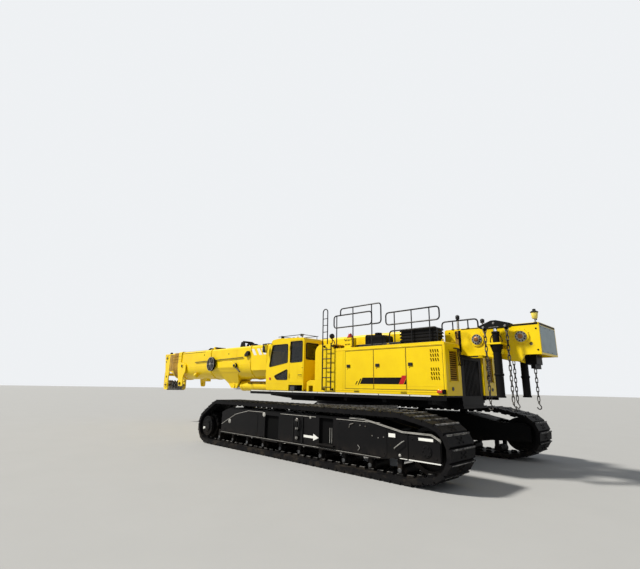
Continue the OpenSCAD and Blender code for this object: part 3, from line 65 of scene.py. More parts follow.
def span(node):
    """Lowest and highest corner of a node, counted from the slewing axis."""
    return [corner - at(0, 0, 0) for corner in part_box(node)]


def put(name, data):
    """A new object in the scene."""
    made = bpy.data.objects.new(name, data)
    bpy.context.collection.objects.link(made)
    return made


# Camera, solved from the photograph; the heading turns from +X towards -Y
PHOTO_W, FOCAL_PX = 640, 399.1
CAMERA_AT = (-9.012, 10.815, 1.959)
HEADING, PITCH, ROLL = radians(44.79), radians(14.436), radians(1.106)


def make_camera():
    level = Vector((cos(HEADING), -sin(HEADING), 0))
    right = Vector((level.y, -level.x, 0))
    ahead = cos(PITCH) * level + sin(PITCH) * Vector(UP)
    top = -sin(PITCH) * level + cos(PITCH) * Vector(UP)
    data = bpy.data.cameras.new("camera")
    data.sensor_fit = "HORIZONTAL"
    data.sensor_width = 36
    data.lens = FOCAL_PX / PHOTO_W * data.sensor_width
    data.clip_end = 500
    camera = put("camera", data)
    turn = Matrix((cos(ROLL) * right + sin(ROLL) * top, cos(ROLL) * top - sin(ROLL) * right, -ahead))
    camera.matrix_world = Matrix.Translation(at(*CAMERA_AT)) @ turn.transposed().to_4x4()
    bpy.context.scene.camera = camera


# Materials

materials = {}


def srgb(r, g, b):
    """Linear colour from 0-255 screen values."""
    parts = (r / 255, g / 255, b / 255)
    return [v / 12.92 if v <= 0.04045 else ((v + 0.055) / 1.055) ** 2.4 for v in parts] + [1]


class Nodes:
    """A material's node tree with short calls for the nodes used here."""

    def __init__(self, name):
        self.name = name
        self.material = bpy.data.materials.new(name)
        self.material.use_nodes = True
        self.tree = self.material.node_tree
        self.shader = self.tree.nodes["Principled BSDF"]
        self.place = self.add("TexCoord").outputs["Object"]

    def add(self, kind, **inputs):
        made = self.tree.nodes.new("ShaderNode" + kind)
        self.feed(made, inputs)
        return made

    def feed(self, node, values):
        """Link or set a node's inputs, named by their place or by their label."""
        for key, value in values.items():
            socket = node.inputs[key.replace("_", " ") if isinstance(key, str) else key]
            if isinstance(value, bpy.types.NodeSocket):
                self.tree.links.new(value, socket)
            else:
                socket.default_value = value

    def noise(self, scale, detail=4, rough=0.6, stretch=None, edges=None):
        """Noise over the object's place, drawn out along the axes by stretch, sharpened between two edges."""
        place = self.place
        if stretch:
            place = self.add("Mapping", Vector=place, Scale=stretch).outputs["Vector"]
        made = self.add("TexNoise", Vector=place, Scale=scale, Detail=detail, Roughness=rough).outputs["Fac"]
        return self.steps(made, *edges) if edges else made

    def steps(self, value, low, high):
        """0 below low, 1 above high."""
        made = self.add("MapRange", Value=value, From_Min=low, From_Max=high)
        made.interpolation_type = "SMOOTHSTEP"
        return made.outputs["Result"]

    def mix(self, factor, a, b):
        made = self.add("Mix")
        made.data_type = "RGBA"
        self.feed(made, {0: factor, 6: a, 7: b})
        return made.outputs[2]

    def math(self, what, a, b):
        made = self.add("Math")
        made.operation = what
        self.feed(made, {0: a, 1: b})
        return made.outputs[0]

    def line(self, start, rise, value):
        """start + rise * value"""
        return self.math("ADD", start, self.math("MULTIPLY", value, rise))

    def height(self):
        """Height over the ground in metres, and the way the surface faces up, from 0 to 1."""
        place = self.add("NewGeometry").outputs
        return [self.add("SeparateXYZ", Vector=place[key]).outputs["Z"] for key in ("Position", "Normal")]

    def bump(self, height, strength, distance, **more):
        made = self.add("Bump", Height=height, Strength=strength, Distance=distance, **more)
        self.feed(self.shader, {"Normal": made.outputs["Normal"]})

    def finish(self, color, roughness, **plain):
        self.feed(self.shader, {"Base Color": color, "Roughness": roughness, **plain})
        materials[self.name] = self.material


EDGE_RADIUS = 0.006
PAINTS = {  # colour, worn tone, dust, gloss, coat, shine
    "yellow_paint": ((247, 213, 8), (240, 203, 6), (196, 158, 44), 0.34, 0.1, 0.22),
    "black_paint": ((12, 12, 13), (18, 17, 18), (52, 46, 40), 0.45, 0, 0.09),
    "black_tube": ((14, 14, 17), (20, 20, 22), (46, 44, 42), 0.3, 0, 0.2),
    "white_mark": ((238, 238, 232), (228, 228, 222), (170, 160, 140), 0.4, 0, 0.3),
    "red_mark": ((196, 26, 22), (180, 22, 20), (120, 60, 50), 0.4, 0, 0.3),
    "orange_lamp": ((212, 62, 20), (196, 52, 16), (150, 70, 40), 0.18, 0.6, 0.3),
    "red_lamp": ((190, 20, 14), (170, 16, 12), (110, 30, 26), 0.18, 0.6, 0.3),
    "lamp_yellow": ((244, 224, 104), (234, 210, 84), (180, 150, 60), 0.3, 0.4, 0.3),
    # inner_black: near-black, painted shade where it lines recesses, pockets and the backs of slots
    "inner_black": ((5, 5, 6), (8, 8, 8), (18, 17, 16), 0.7, 0, 0.06)}
DUST_REACH = {"yellow_paint": (0.4, -0.5), "black_paint": (0.8, 0.1)}  # heights with none and with most
NO_DUST = (-0.5, -1)
# Browns of painted shade; on the sliding sections' collars they stand for grease as well
SHADE_TONE, DEEP_SHADE_TONE = (182, 140, 22), (140, 102, 16)
COLLAR_L = 0.15


def paint(name, color, worn, dust, gloss, coat, shine):
    """Machine paint: a slow shift of tone, fine scratches, dust on tops and low down, orange peel."""
    m = Nodes(name)
    dust = srgb(*dust)
    base = m.mix(m.noise(1.3, 3, edges=(0.3, 0.7)), srgb(*color), srgb(*worn))
    scratch = m.noise(9, 8, 0.75, (1, 1, 0.15), (0.66, 0.72))
    base = m.mix(m.math("MULTIPLY", scratch, 0.25), base, dust)
    z, up = m.height()
    low = m.steps(z, *DUST_REACH.get(name, NO_DUST))
    tops = m.math("MULTIPLY", m.steps(up, 0.55, 0.98), 0.35)
    dirt = m.math("MULTIPLY", m.math("MAXIMUM", low, tops), m.noise(5, 6, 0.7, edges=(0.35, 0.75)))
    rough = m.line(m.line(gloss, 0.08, m.noise(30, 3)), 0.35, dirt)
    m.bump(m.noise(220, 2), 0.04, 0.002, Normal=m.add("Bevel", Radius=EDGE_RADIUS).outputs["Normal"])
    m.finish(m.mix(dirt, base, dust), rough, Coat_Weight=coat, Coat_Roughness=0.12, Specular_IOR_Level=shine)


def mottled(name, first, second, noise, edges=None, bump=None, rough=0.5, **plain):
    """Two tones in a noise; bump is (noise, strength, depth), and rough may be (start, rise, noise)."""
    m = Nodes(name)
    base = m.mix(m.noise(*noise, edges=edges), srgb(*first), srgb(*second))
    if bump:
        m.bump(m.noise(*bump[0]), *bump[1:])
    if isinstance(rough, tuple):
        rough = m.line(rough[0], rough[1], m.noise(*rough[2]))
    m.finish(base, rough, **plain)


def make_materials():
    for name, values in PAINTS.items():
        paint(name, *values)
    mottled("chain_steel", (26, 25, 25), (122, 118, 112), (16, 5), (0.42, 0.62), None, 0.34, Metallic=0.7)
    mottled("wire_rope", (58, 56, 54), (28, 26, 24), (30, 4), (0.35, 0.7),
            ((500, 2, 0.5, (1, 4, 1)), 0.5, 0.004), Metallic=0.6)
    mottled("chrome_rod", (205, 206, 208), (176, 176, 176), (7, 5, 0.6, (0.2, 1, 1)), (0.45, 0.7),
            rough=(0.08, 0.1, (25, 3)), Metallic=1)
    mottled("engine_grey", (84, 86, 88), (52, 52, 52), (4, 6), (0.35, 0.7), ((25, 3), 0.3, 0.01), 0.55)
    mottled("cab_glass", (10, 14, 16), (18, 23, 25), (3, 5), (0.4, 0.7), None,
            (0.03, 0.1, (8, 6, 0.6, None, (0.5, 0.8))), Alpha=0.62, Specular_IOR_Level=0.5)
    mottled("rubber", (9, 9, 10), (18, 18, 19), (20, 4), None, ((180, 3), 0.2, 0.002), 0.62,
            Specular_IOR_Level=0.25)
    mottled("black_plastic", (12, 12, 14), (21, 21, 23), (9, 4), None, ((260, 2), 0.25, 0.001), 0.48,
            Specular_IOR_Level=0.3)
    mottled("lamp_lens", (214, 218, 222), (186, 190, 196), (40, 2), None,
            ((90, 2, 0.5, (1, 8, 1)), 0.4, 0.003), 0.12, Coat_Weight=0.8)
    mottled("brass", (150, 104, 60), (96, 62, 38), (18, 4), None, None, 0.4, Metallic=0.8)
    mottled("mirror_glass", (196, 202, 208), (180, 188, 196), (6, 3), None, None, 0.04, Metallic=1)
    # worn_edge: dark steel with light grey patches, worn steel on the shoes' ridges and the link rails and painted
    # highlight along them
    mottled("worn_edge", (34, 34, 35), (158, 156, 152), (5, 7, 0.8), (0.4, 0.62), None, 0.6,
            Specular_IOR_Level=0.15)
    # section_yellow: yellow paint darkened to brown as painted shade, for the head plates, the rear louvres and
    # the winch frame's recess
    mottled("section_yellow", SHADE_TONE, DEEP_SHADE_TONE, (4, 7, 0.75), (0.35, 0.65), ((60, 5, 0.7), 0.15, 0.004))
    # grey_panel is the rear end plate's blue grey, painted shade with sky reflection. edge_grey is pale grey: a
    # painted highlight on the track frames' edges, a painted sky reflection on the boom's top rail, and the own
    # colour of lamp posts, frame caps, a handle and the reel's hub.
    for name, light, dark in (("grey_panel", (134, 152, 156), (120, 138, 143)),
                              ("edge_grey", (176, 174, 168), (132, 130, 124))):
        mottled(name, light, dark, (4, 6, 0.7), (0.35, 0.7), ((160, 2), 0.06, 0.002), 0.45)

    m = Nodes("track_steel")
    base = m.mix(m.noise(6, 6, 0.7, edges=(0.3, 0.75)), srgb(14, 14, 16), srgb(26, 25, 25))
    z, up = m.height()
    mud = m.math("MULTIPLY", m.noise(2.2, 8, 0.75, edges=(0.48, 0.7)), m.steps(z, 0.75, 0.05))
    base = m.mix(mud, base, srgb(58, 52, 45))
    worn = m.math("MULTIPLY", m.noise(14, 8, 0.8, (1, 0.2, 1), (0.55, 0.68)), m.steps(up, 0.2, 0.9))
    base = m.mix(m.math("MULTIPLY", worn, 0.25), base, srgb(84, 83, 82))
    m.bump(m.noise(60, 6, 0.7), 0.25, 0.006)
    m.finish(base, m.line(0.6, 0.3, mud), Metallic=0.0, Specular_IOR_Level=0.06)

    m = Nodes("machined_steel")
    base = m.mix(m.noise(12, 5, edges=(0.35, 0.7)), srgb(150, 148, 144), srgb(104, 98, 90))
    base = m.mix(m.noise(5, 7, 0.7, edges=(0.55, 0.75)), base, srgb(52, 42, 34))
    m.bump(m.noise(90, 3, 0.5, (0.2, 1, 0.2)), 0.12, 0.002)
    m.finish(base, m.line(0.3, 0.2, m.noise(20, 3)), Metallic=0.85)

    m = Nodes("seat_cloth")
    weave = m.add("TexWave", Vector=m.place, Scale=140.0, Distortion=1.5).outputs["Fac"]
    m.bump(weave, 0.3, 0.003)
    m.finish(m.mix(weave, srgb(26, 27, 30), srgb(40, 41, 45)), 0.85, Sheen_Weight=0.25)

    m = Nodes("tread_plate")
    bars = m.add("TexWave", Vector=m.place, Scale=18.0, Distortion=2.0).outputs["Fac"]
    m.bump(bars, 0.5, 0.004)
    base = m.mix(m.noise(3, 6, 0.7, edges=(0.35, 0.75)), srgb(14, 14, 15), srgb(34, 32, 30))
    m.finish(base, 0.6, Metallic=0.2)

    # Sliding sections: a brown band over the collar and brown patches along the tube, painted shade with some
    # grease
    for k in range(2, 6):
        low, high = span("boom_section_%d" % k)
        collar = 1 - COLLAR_L / (high.x - low.x)
        m = Nodes("section_%d_paint" % k)
        way = m.add("TexCoord").outputs["Generated"]
        along = m.add("SeparateXYZ", Vector=way).outputs["X"]
        grease_and_shade = m.math("MULTIPLY", m.noise(3, 7, 0.75, (0.2, 1, 1), (0.5, 0.75)), 0.35)
        dark = m.math("MAXIMUM", m.steps(along, collar - 0.0008, collar), grease_and_shade)
        shade_and_grease_tone = m.mix(m.noise(4, 7, 0.75, edges=(0.35, 0.65)), srgb(*SHADE_TONE), srgb(*DEEP_SHADE_TONE))
        m.bump(m.noise(60, 5, 0.7), 0.15, 0.004)
        m.finish(m.mix(dark, srgb(240, 203, 6), shade_and_grease_tone), 0.42, Specular_IOR_Level=0.22)


def dress_nodes():
    """Each carried-over node gets its record slot's material; a sliding section has its own paint, with painted
    shade on its collar.
    """
    for part in frame["record"]["subparts"]:
        name, slot = part["node"], part["material_slot"]
        own = name.replace("boom_", "") + "_paint"
        worn = {"lamp_parts": "lamp_yellow"}.get(slot, slot)
        nodes[name].data.materials.clear()
        nodes[name].data.materials.append(materials.get(own, materials[worn]))


# Building pieces from simple forms

PLANES = {"x": lambda a, b: (0, a, b), "y": lambda a, b: (a, 0, b), "z": lambda a, b: (a, b, 0)}
SIDES = ("left", "right")
BOTH = (-1, 1)
pieces = []


def rounded(corners, radius, closed=False, steps=4):
    """A path through corners whose bends are rounded off by about radius."""
    corners = [Vector(c) for c in corners]
    path = []
    for i, q in enumerate(corners):
        if not closed and i in (0, len(corners) - 1):
            path.append(q)
            continue
        p, s = corners[i - 1], corners[(i + 1) % len(corners)]
        reach = min(radius, 0.49 * (p - q).length, 0.49 * (s - q).length)
        a, b = q + (p - q).normalized() * reach, q + (s - q).normalized() * reach
        for k in range(steps + 1):
            t = k / steps
            path.append((1 - t) ** 2 * a + 2 * t * (1 - t) * q + t * t * b)
    return path


def circle(x, y, z, r, count, axis="y", start=0.0):
    """Places on a circle round an axis through (x, y, z)."""
    turns = [2 * pi * k / count + start for k in range(count)]
    return [Vector((x, y, z)) + Vector(PLANES[axis](r * cos(t), r * sin(t))) for t in turns]


class Piece:
    """A mesh put together from simple forms, in metres counted from the slewing axis.

    A star in the name stands for the side. With flip -1, as on the right, forms are mirrored.
    """

    def __init__(self, name, material, body, side="", bevel=0.0, replaces=()):
        self.name, self.material, self.body = name.replace("*", side), material, body
        self.bevel, self.replaces = bevel, replaces
        self.flip = -1 if side == "right" else 1
        self.points, self.faces = [], []
        pieces.append(self)

    def add(self, points, faces):
        first = len(self.points)
        self.points += [(p[0], self.flip * p[1], p[2]) for p in points]
        self.faces += [[first + i for i in face] for face in faces]

    def skin(self, rings, closed=False):
        """Rings of points, each joined to the next; both ends are closed, or joined to each other."""
        n, count = len(rings[0]), len(rings)
        faces = [] if closed else [range(n), range(n * (count - 1), n * count)]
        for i in range(count if closed else count - 1):
            a, b = i * n, (i + 1) % count * n
            faces += [(a + k, a + (k + 1) % n, b + (k + 1) % n, b + k) for k in range(n)]
        self.add([p for ring in rings for p in ring], faces)

    def slab(self, outline, low, high):
        """An outline of (x, z) drawn out along y."""
        self.skin([[(x, y, z) for x, z in outline] for y in (low, high)])

    def box(self, low, high):
        (x0, y0, z0), (x1, y1, z1) = low, high
        self.slab([(x0, z0), (x1, z0), (x1, z1), (x0, z1)], y0, y1)

    def plate(self, x0, x1, z0, z1, y, depth):
        """A box on a side face, from y outwards."""
        self.box((x0, y, z0), (x1, y + depth, z1))

    def border(self, x0, x1, z0, z1, wide, y, depth):
        """Four plates just inside an outline."""
        for x in (x0, x1 - wide):
            self.plate(x, x + wide, z0, z1, y, depth)
        for z in (z0, z1 - wide):
            self.plate(x0, x1, z, z + wide, y, depth)

    def turned(self, rows, start, axis, n=24):
        """Rows of (radius, distance) turned round an axis that runs from start; both ends are closed."""
        axis = Vector(axis).normalized()
        side = axis.orthogonal().normalized()
        other = axis.cross(side)
        ring = [cos(2 * pi * i / n) * side + sin(2 * pi * i / n) * other for i in range(n)]
        self.skin([[Vector(start) + axis * d + r * v for v in ring] for r, d in rows])

    def rod(self, p, q, r, n=12):
        along = Vector(q) - Vector(p)
        self.turned([(r, 0), (r, along.length)], p, along, n)

    def disc(self, x, z, y, depth, r, n=24):
        """A disc that faces outwards, its outer edge broken."""
        edge = min(0.004, r / 4, depth / 3)
        self.turned([(r, 0), (r, depth - edge), (r - edge, depth)], (x, y, z), OUT, n)

    def bolts(self, places, out, r, h, washer=True):
        """Hexagon heads on washers at places, pointing out."""
        for place in places:
            if washer:
                self.turned([(1.5 * r, 0), (1.5 * r, 0.3 * h)], place, out, 12)
            self.turned([(r, 0), (r, 0.85 * h), (0.85 * r, h)], place, out, 6)

    def tube(self, path, r, bend=0.0, n=8, closed=False, steps=4):
        """A round tube along a path, its bends rounded and its rings carried on without twist."""
        path = rounded(path, bend, closed, steps) if bend else [Vector(p) for p in path]
        count = len(path)
        rings = []
        side = None
        for i, p in enumerate(path):
            before = path[i - 1] if closed or i else p
            after = path[(i + 1) % count] if closed or i < count - 1 else p
            head = (after - before).normalized()
            side = head.orthogonal() if side is None else side - head * side.dot(head)
            side.normalize()
            other = head.cross(side)
            turns = [2 * pi * k / n for k in range(n)]
            rings.append([p + r * (cos(t) * side + sin(t) * other) for t in turns])
        self.skin(rings, closed)

    def make(self):
        mesh = bpy.data.meshes.new(self.name)
        mesh.from_pydata(self.points, [], self.faces)
        shape = bmesh.new()
        shape.from_mesh(mesh)
        bmesh.ops.recalc_face_normals(shape, faces=shape.faces)
        shape.to_mesh(mesh)
        shape.free()
        mesh.shade_smooth()
        mesh.set_sharp_from_angle(angle=radians(35))
        mesh.materials.append(materials[self.material])
        piece = put(self.name, mesh)
        piece.location = at(0, 0, 0)
        if self.bevel:
            edge = piece.modifiers.new("bevel", "BEVEL")
            edge.width = self.bevel
            edge.segments = 2
            edge.limit_method = "ANGLE"
            edge.angle_limit = radians(40)
            edge.harden_normals = True
        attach(piece, self.body)
        for node in self.replaces:
            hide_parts(node)


# Places on the machine that several pieces share
FRAME_FACE = 3.03
BOOM_SIDE = 0.6
DECK_SIDE, DECK_TOP = span("decks")[1].yz
HOUSE_SIDE = 1.5
HOUSE_REAR = span("house_left")[0].x
ROOF = 3.15
WINCH_SIDE, WINCH_REAR, WINCH_Z, WINCH_TOP = 0.62, -6.05, 3.23, 3.545
WINCHES = {"drum_main": -4.56, "drum_aux": -5.64}


# Tracks: bolts, wear marks, link lugs, and ridges and rails that are worn and lit by painted highlight, on every
# shoe

SHOE_PLATE = (0.13, 0.24)
SHOE_RIDGE = (0.022, 0.032)
SHOE_HALF = 0.5
SHOE_CLEAR = 0.05
CHAIN_DEPTH = 0.11
LUG_Y = (0.305, 0.345)
LUG = [(-0.1, 0.004), (-0.07, -0.045), (0.07, -0.045), (0.1, 0.004)]


def shoe_faces(node, least, most):
    """Middle, outward way and way along the belt of each flat outer face of a width between two bounds."""
    shape = bmesh.new()
    shape.from_mesh(nodes[node].data)
    shape.transform(nodes[node].matrix_world)
    bmesh.ops.remove_doubles(shape, verts=shape.verts, dist=1e-5)
    bmesh.ops.dissolve_limit(shape, angle_limit=radians(1), verts=shape.verts, edges=shape.edges)
    middle = at(0, 0, 0.72)
    plates = []
    for face in shape.faces:
        way = face.normal
        center = face.calc_center_median()
        along = Vector((-way.z, 0, way.x))
        reach = [v.co.dot(along) for v in face.verts]
        flat = abs(way.y) < 0.01 and least < max(reach) - min(reach) < most
        if flat and way.dot(center - middle) > 0.3:
            plates.append((center - at(0, 0, 0), way.copy(), along))
    shape.free()
    return plates


def track_detail(side):
    # Shoe ridges and link rails in light grey: worn steel, and painted highlight along them
    ridges = Piece("shoe_ridges_" + side, "worn_edge", LOWER)
    bolts = Piece("shoe_bolts_" + side, "track_steel", LOWER)
    wear = Piece("shoe_webs_" + side, "inner_black", LOWER)
    lugs = Piece("link_lugs_" + side, "track_steel", LOWER)
    rails = Piece("link_rails_" + side, "worn_edge", LOWER)
    across = Vector(OUT)
    for center, way, along in shoe_faces("track_" + side, *SHOE_RIDGE):
        if center.z > SHOE_CLEAR:
            a, b = 0.01 * along, SHOE_HALF * across
            low = [center - a - b, center + a - b, center + a + b, center - a + b]
            ridges.skin([low, [p + 0.0015 * way for p in low]])
    for center, way, along in shoe_faces("track_" + side, *SHOE_PLATE):
        if center.z > SHOE_CLEAR:
            spots = [center + a * along + b * across for a in (-0.045, 0.045) for b in (-0.09, 0.09)]
            bolts.bolts(spots, way, 0.019, 0.016)
            for b in (0.1, -0.1):
                end, edge = 0.05 * along + b * across, 0.02 * across
                low = [center - end - edge, center - end + edge, center + end + edge, center + end - edge]
                wear.skin([low, [p + 0.004 * way for p in low]])
        root = center - CHAIN_DEPTH * way
        for s in BOTH:
            lugs.skin([[root + a * along + d * way + s * y * across for a, d in LUG] for y in LUG_Y])
            if way.z < -0.9:
                y0, y1 = (root.y + s * y for y in LUG_Y)
                rails.box((root.x - 0.07, y0, root.z + 0.043), (root.x + 0.07, y1, root.z + 0.05))


# Track frames: marks, plates, bolts, hoses, painted shade in the pockets and painted highlights along the edges

IDLER = (-4.38, 0.72)
DRIVE = (4.30, 0.58)
HANGER_FACE = 2.95
ROLLER_Z = 0.245
FRAME_POCKETS = [(0.42, 1.06, 0.44, 1.12), (-1.74, -1.24, 0.56, 1.19)]
POCKET_DEPTH = 0.07
PANEL_CUT = 0.07
FORK_TOP = [(-2.3, 1.25), (-2.75, 1.245), (-3.6, 1.085), (-3.8, 1.047), (-4.5, 1.047), (-4.69, 0.955),
            (-4.71, 0.93)]


def frame_detail(side):
    face = FRAME_FACE
    white = Piece("white_marks_*", "white_mark", LOWER, side)
    tail, head, tip, mid, half, thin = -0.66, -1.03, -1.23, 0.685, 0.085, 0.0306
    white.slab([(tail, mid - thin), (head, mid - thin), (head, mid - half), (tip, mid), (head, mid + half),
                (head, mid + thin), (tail, mid + thin)], face, face + 0.003)
    white.plate(-3.62, -3.44, 0.92, 1.0, face + 0.014, 0.004)
    white.plate(-4.54, -4.2, 0.92, 0.975, face + 0.014, 0.004)
    white.plate(4.38, 4.5, 0.46, 0.54, face + 0.07, 0.003)
    # Two white strips along the rear cover's lower ledge: painted highlight
    white.plate(-4.7, -3.96, 0.503, 0.523, face, 0.04)
    white.plate(-3.91, -3.72, 0.503, 0.516, face, 0.012)

    caps = Piece("frame_caps_*", "edge_grey", LOWER, side)
    for x, z, r in ((2.95, 0.82, 0.07), (1.11, 1.13, 0.065), (-0.91, 1.17, 0.035), (-3.72, 0.57, 0.03)):
        caps.turned([(r, 0), (r, 0.012), (r - 0.012, 0.02)], (x, face, z), OUT)
    for x in (-1.67, -1.6):
        caps.rod((x, face - 0.03, 0.6), (x, face - 0.03, 0.96), 0.008)

    # Pale grey strips along the fork's top, the frame's top edges, its front arm and a low line: painted
    # highlights; the tube at the end is a handle
    trim = Piece("frame_edges_*", "edge_grey", LOWER, side)
    for lift, depth in ((0.0, 0.03), (0.018, 0.012)):
        for (xa, za), (xb, zb) in zip(FORK_TOP, FORK_TOP[1:]):
            trim.slab([(xa, za - 0.012 + lift), (xb, zb - 0.012 + lift), (xb, zb + lift), (xa, za + lift)],
                      face - 0.02, face + depth)
    trim.plate(-3.2, 3.44, 0.452, 0.464, face, 0.012)
    for x0, x1 in ((-3.2, -1.86), (-1.12, 0.34), (1.14, 1.93)):
        trim.plate(x0, x1, 1.19, 1.202, face, 0.014)
    trim.slab([(1.93, 1.188), (2.62, 1.052), (3.42, 0.7), (3.42, 0.712), (2.62, 1.064), (1.93, 1.2)],
              face, face + 0.012)
    trim.tube([(-3.59, face + 0.01, 0.69), (-3.61, face + 0.06, 0.705), (-3.82, face + 0.06, 0.855),
               (-3.84, face + 0.01, 0.87)], 0.011, 0.03)

    # Near-black sheets at the back of the pockets and in the gap at the cover's edge: painted shade
    dark = Piece("frame_recesses_*", "inner_black", LOWER, side)
    for x0, x1, z0, z1 in FRAME_POCKETS:
        dark.plate(x0 + 0.01, x1 - 0.01, z0 + 0.01, z1 - 0.01, face - POCKET_DEPTH, 0.003)
    dark.plate(-3.955, -3.925, 0.53, 1.02, face - 0.01, 0.025)

    bolts = Piece("frame_bolts_*", "black_paint", LOWER, side)
    rollers = [-3.65 + 7.3 * i / 9 for i in range(10)]
    bolts.bolts([(x + dx, face, 0.5) for x in rollers[1:-1] for dx in (-0.05, 0.05)], OUT, 0.016, 0.018)
    bolts.bolts(circle(DRIVE[0], face + 0.04, DRIVE[1], 0.27, 18), OUT, 0.016, 0.018)
    bolts.bolts(circle(DRIVE[0], face + 0.07, DRIVE[1], 0.15, 8), OUT, 0.014, 0.014)
    bolts.disc(*IDLER, face - 0.005, 0.035, 0.12)
    bolts.bolts(circle(IDLER[0], face + 0.03, IDLER[1], 0.085, 6), OUT, 0.012, 0.014)
    for x0, x1, z0, z1, lift in ((-4.6, -4.05, 0.6, 0.93, 0.014), (1.5, 3.2, 0.56, 1.12, 0),
                                 (-3.3, -1.95, 0.56, 1.1, 0)):
        bolts.bolts([(x, face + lift, z) for x in (x0, x1) for z in (z0, z1)], OUT, 0.014, 0.014)

    panels = Piece("frame_panels_*", "black_paint", LOWER, side, 0.003)
    for x0, x1, z0, z1 in ((1.42, 3.28, 0.48, 1.17), (-3.38, -1.88, 0.48, 1.15)):
        xa, xb, za, zb = x0 + PANEL_CUT, x1 - PANEL_CUT, z0 + PANEL_CUT, z1 - PANEL_CUT
        panels.slab([(xa, z0), (xb, z0), (x1, za), (x1, zb), (xb, z1), (xa, z1), (x0, zb), (x0, za)],
                    face - 0.004, face + 0.006)

    hoses = Piece("frame_hoses_*", "rubber", LOWER, side)
    for x, low in ((-0.52, 0.86), (-0.43, 0.62), (-0.34, 0.86)):
        hoses.tube([(x, face + 0.05, 1.08), (x, face + 0.068, 1.02), (x - 0.02, face + 0.07, low + 0.08),
                    (x, face + 0.05, low)], 0.017, 0.06, 10, steps=5)
    for x in (-0.62, -0.24):
        hoses.rod((x, face + 0.02, 0.5), (x, face + 0.02, 1.16), 0.014)

    fittings = Piece("hose_fittings_*", "machined_steel", LOWER, side)
    for z in (0.62, 0.86, 1.08):
        fittings.turned([(0.05, 0), (0.05, 0.02), (0.03, 0.03), (0.03, 0.045)],
                        (-0.43, face + 0.044, z), OUT, 6)
    for x, z in ((-2.62, 1.1), (-2.78, 1.09), (-2.98, 0.9), (-3.15, 0.87), (-3.3, 0.9)):
        fittings.turned([(0.018, 0), (0.018, 0.012), (0.01, 0.022)], (x, face, z), OUT, 8)
    for path in (((-2.28, 1.02), (-2.3, 1.1), (-2.42, 1.13)), ((-2.55, 0.66), (-2.62, 0.6), (-2.56, 0.54))):
        fittings.tube([(x, face + 0.015, z) for x, z in path], 0.01, 0.03)

    ends = Piece("roller_ends_*", "engine_grey", LOWER, side)
    for x in rollers:
        ends.turned([(0.05, 0), (0.05, 0.012), (0.036, 0.02), (0.036, 0.014), (0.02, 0.014)],
                    (x, HANGER_FACE, ROLLER_Z), OUT)


RING_R, RING_BOLTS = 1.28, 60


def slew_ring_detail():
    """Bolt heads round both flanges of the slewing ring, and the edges of the carbody's beams."""
    low, high = span("slewing_ring")
    heads = Piece("ring_bolts", "machined_steel", LOWER)
    for z, way in ((low.z + 0.05, 1), (high.z - 0.07, -1)):
        heads.bolts(circle(0, 0, z, RING_R, RING_BOLTS, "z"), (0, 0, way), 0.018, 0.022)
    beams = Piece("beam_edges", "black_paint", LOWER)
    for x in (-1.43, -0.87, 0.87, 1.43):
        for y in (-1.7, 1.7):
            beams.box((x - 0.012, y - 0.3, 1.19), (x + 0.012, y + 0.3, 1.205))


# Decks: white edge strips, tread plates and bolts

STRIP_ENDS = [-3.72, -3.1, -2.1, -0.9, 0.3, 1.5, 2.7, 3.88]
STRIP_GAP = 0.012


def deck_detail(side):
    strips = Piece("deck_strips_*", "white_mark", UPPER, side)
    for x0, x1 in zip(STRIP_ENDS, STRIP_ENDS[1:]):
        strips.plate(x0 + STRIP_GAP, x1 - STRIP_GAP, DECK_TOP - 0.036, DECK_TOP - 0.002, DECK_SIDE, 0.004)
    treads = Piece("deck_treads_*", "tread_plate", UPPER, side)
    ahead = 3.2 if side == "left" else 0.6
    for x0, x1, y0 in ((ahead, 3.86, 0.72), (-4.05, 0.5, HOUSE_SIDE + 0.005)):
        treads.box((x0, y0, DECK_TOP - 0.001), (x1, DECK_SIDE - 0.01, DECK_TOP + 0.004))
    under = Piece("deck_bolts_*", "black_paint", UPPER, side)
    under.bolts([(-3.6 + 0.75 * i, DECK_SIDE, DECK_TOP - 0.085) for i in range(10)], OUT, 0.012, 0.01)


# Houses: stripe, latches, hinges, louvres, seams and lamps

BAND_LOW, BAND_HIGH, BAND_LEAN = 2.075, 2.255, -0.1
MARK_T = 0.002
DOOR_SEAL = 0.008
SLOT_X0, SLOT_PITCH, SLOT_W, SLOT_LEAN = -3.93, 0.066, 0.036, 0.022
SLOT_ROWS = [2.19, 2.30, 2.41, 2.65, 2.76, 2.87]
SLOT_H = 0.085
SLOT_COLUMNS = 4


def house_marks(side):
    """Black band with slashes ahead of it and a red bar at its rear end, cut at the gap between the doors."""
    low, high, lean = BAND_LOW, BAND_HIGH, BAND_LEAN
    ahead, behind = ("door_%s_%d" % (side, i) for i in (1, 2))
    front, back, end = span(ahead)[0].x + 0.003, span(behind)[1].x - 0.003, span(behind)[0].x + 0.003
    slashes = [[(x, low - 0.02), (x + 0.04, low - 0.02), (x + 0.04 + step, top), (x + step, top)]
               for x, step, top in ((-1.32, lean, high - 0.03), (-1.22, 0.65 * lean, high - 0.1))]
    band = [(front, low), (-1.36, low), (-1.36 + lean, high), (front, high)]
    rest = [(-2.7, low), (back, low), (back, high), (-2.7 + lean, high)]
    corner = [(end, low), (-2.86, low), (end, low + 0.15)]
    bar = [(-2.85, low), (-2.71, low), (-2.81, high + 0.05), (end, high + 0.05), (end, low + 0.17)]
    for name, material, body, outlines in (("house_band_ahead_*", "black_paint", ahead, [band] + slashes),
                                           ("house_band_behind_*", "black_paint", behind, [rest, corner]),
                                           ("house_bar_*", "red_mark", behind, [bar])):
        mark = Piece(name, material, body, side)
        for outline in outlines:
            mark.slab(outline, HOUSE_SIDE, HOUSE_SIDE + MARK_T)


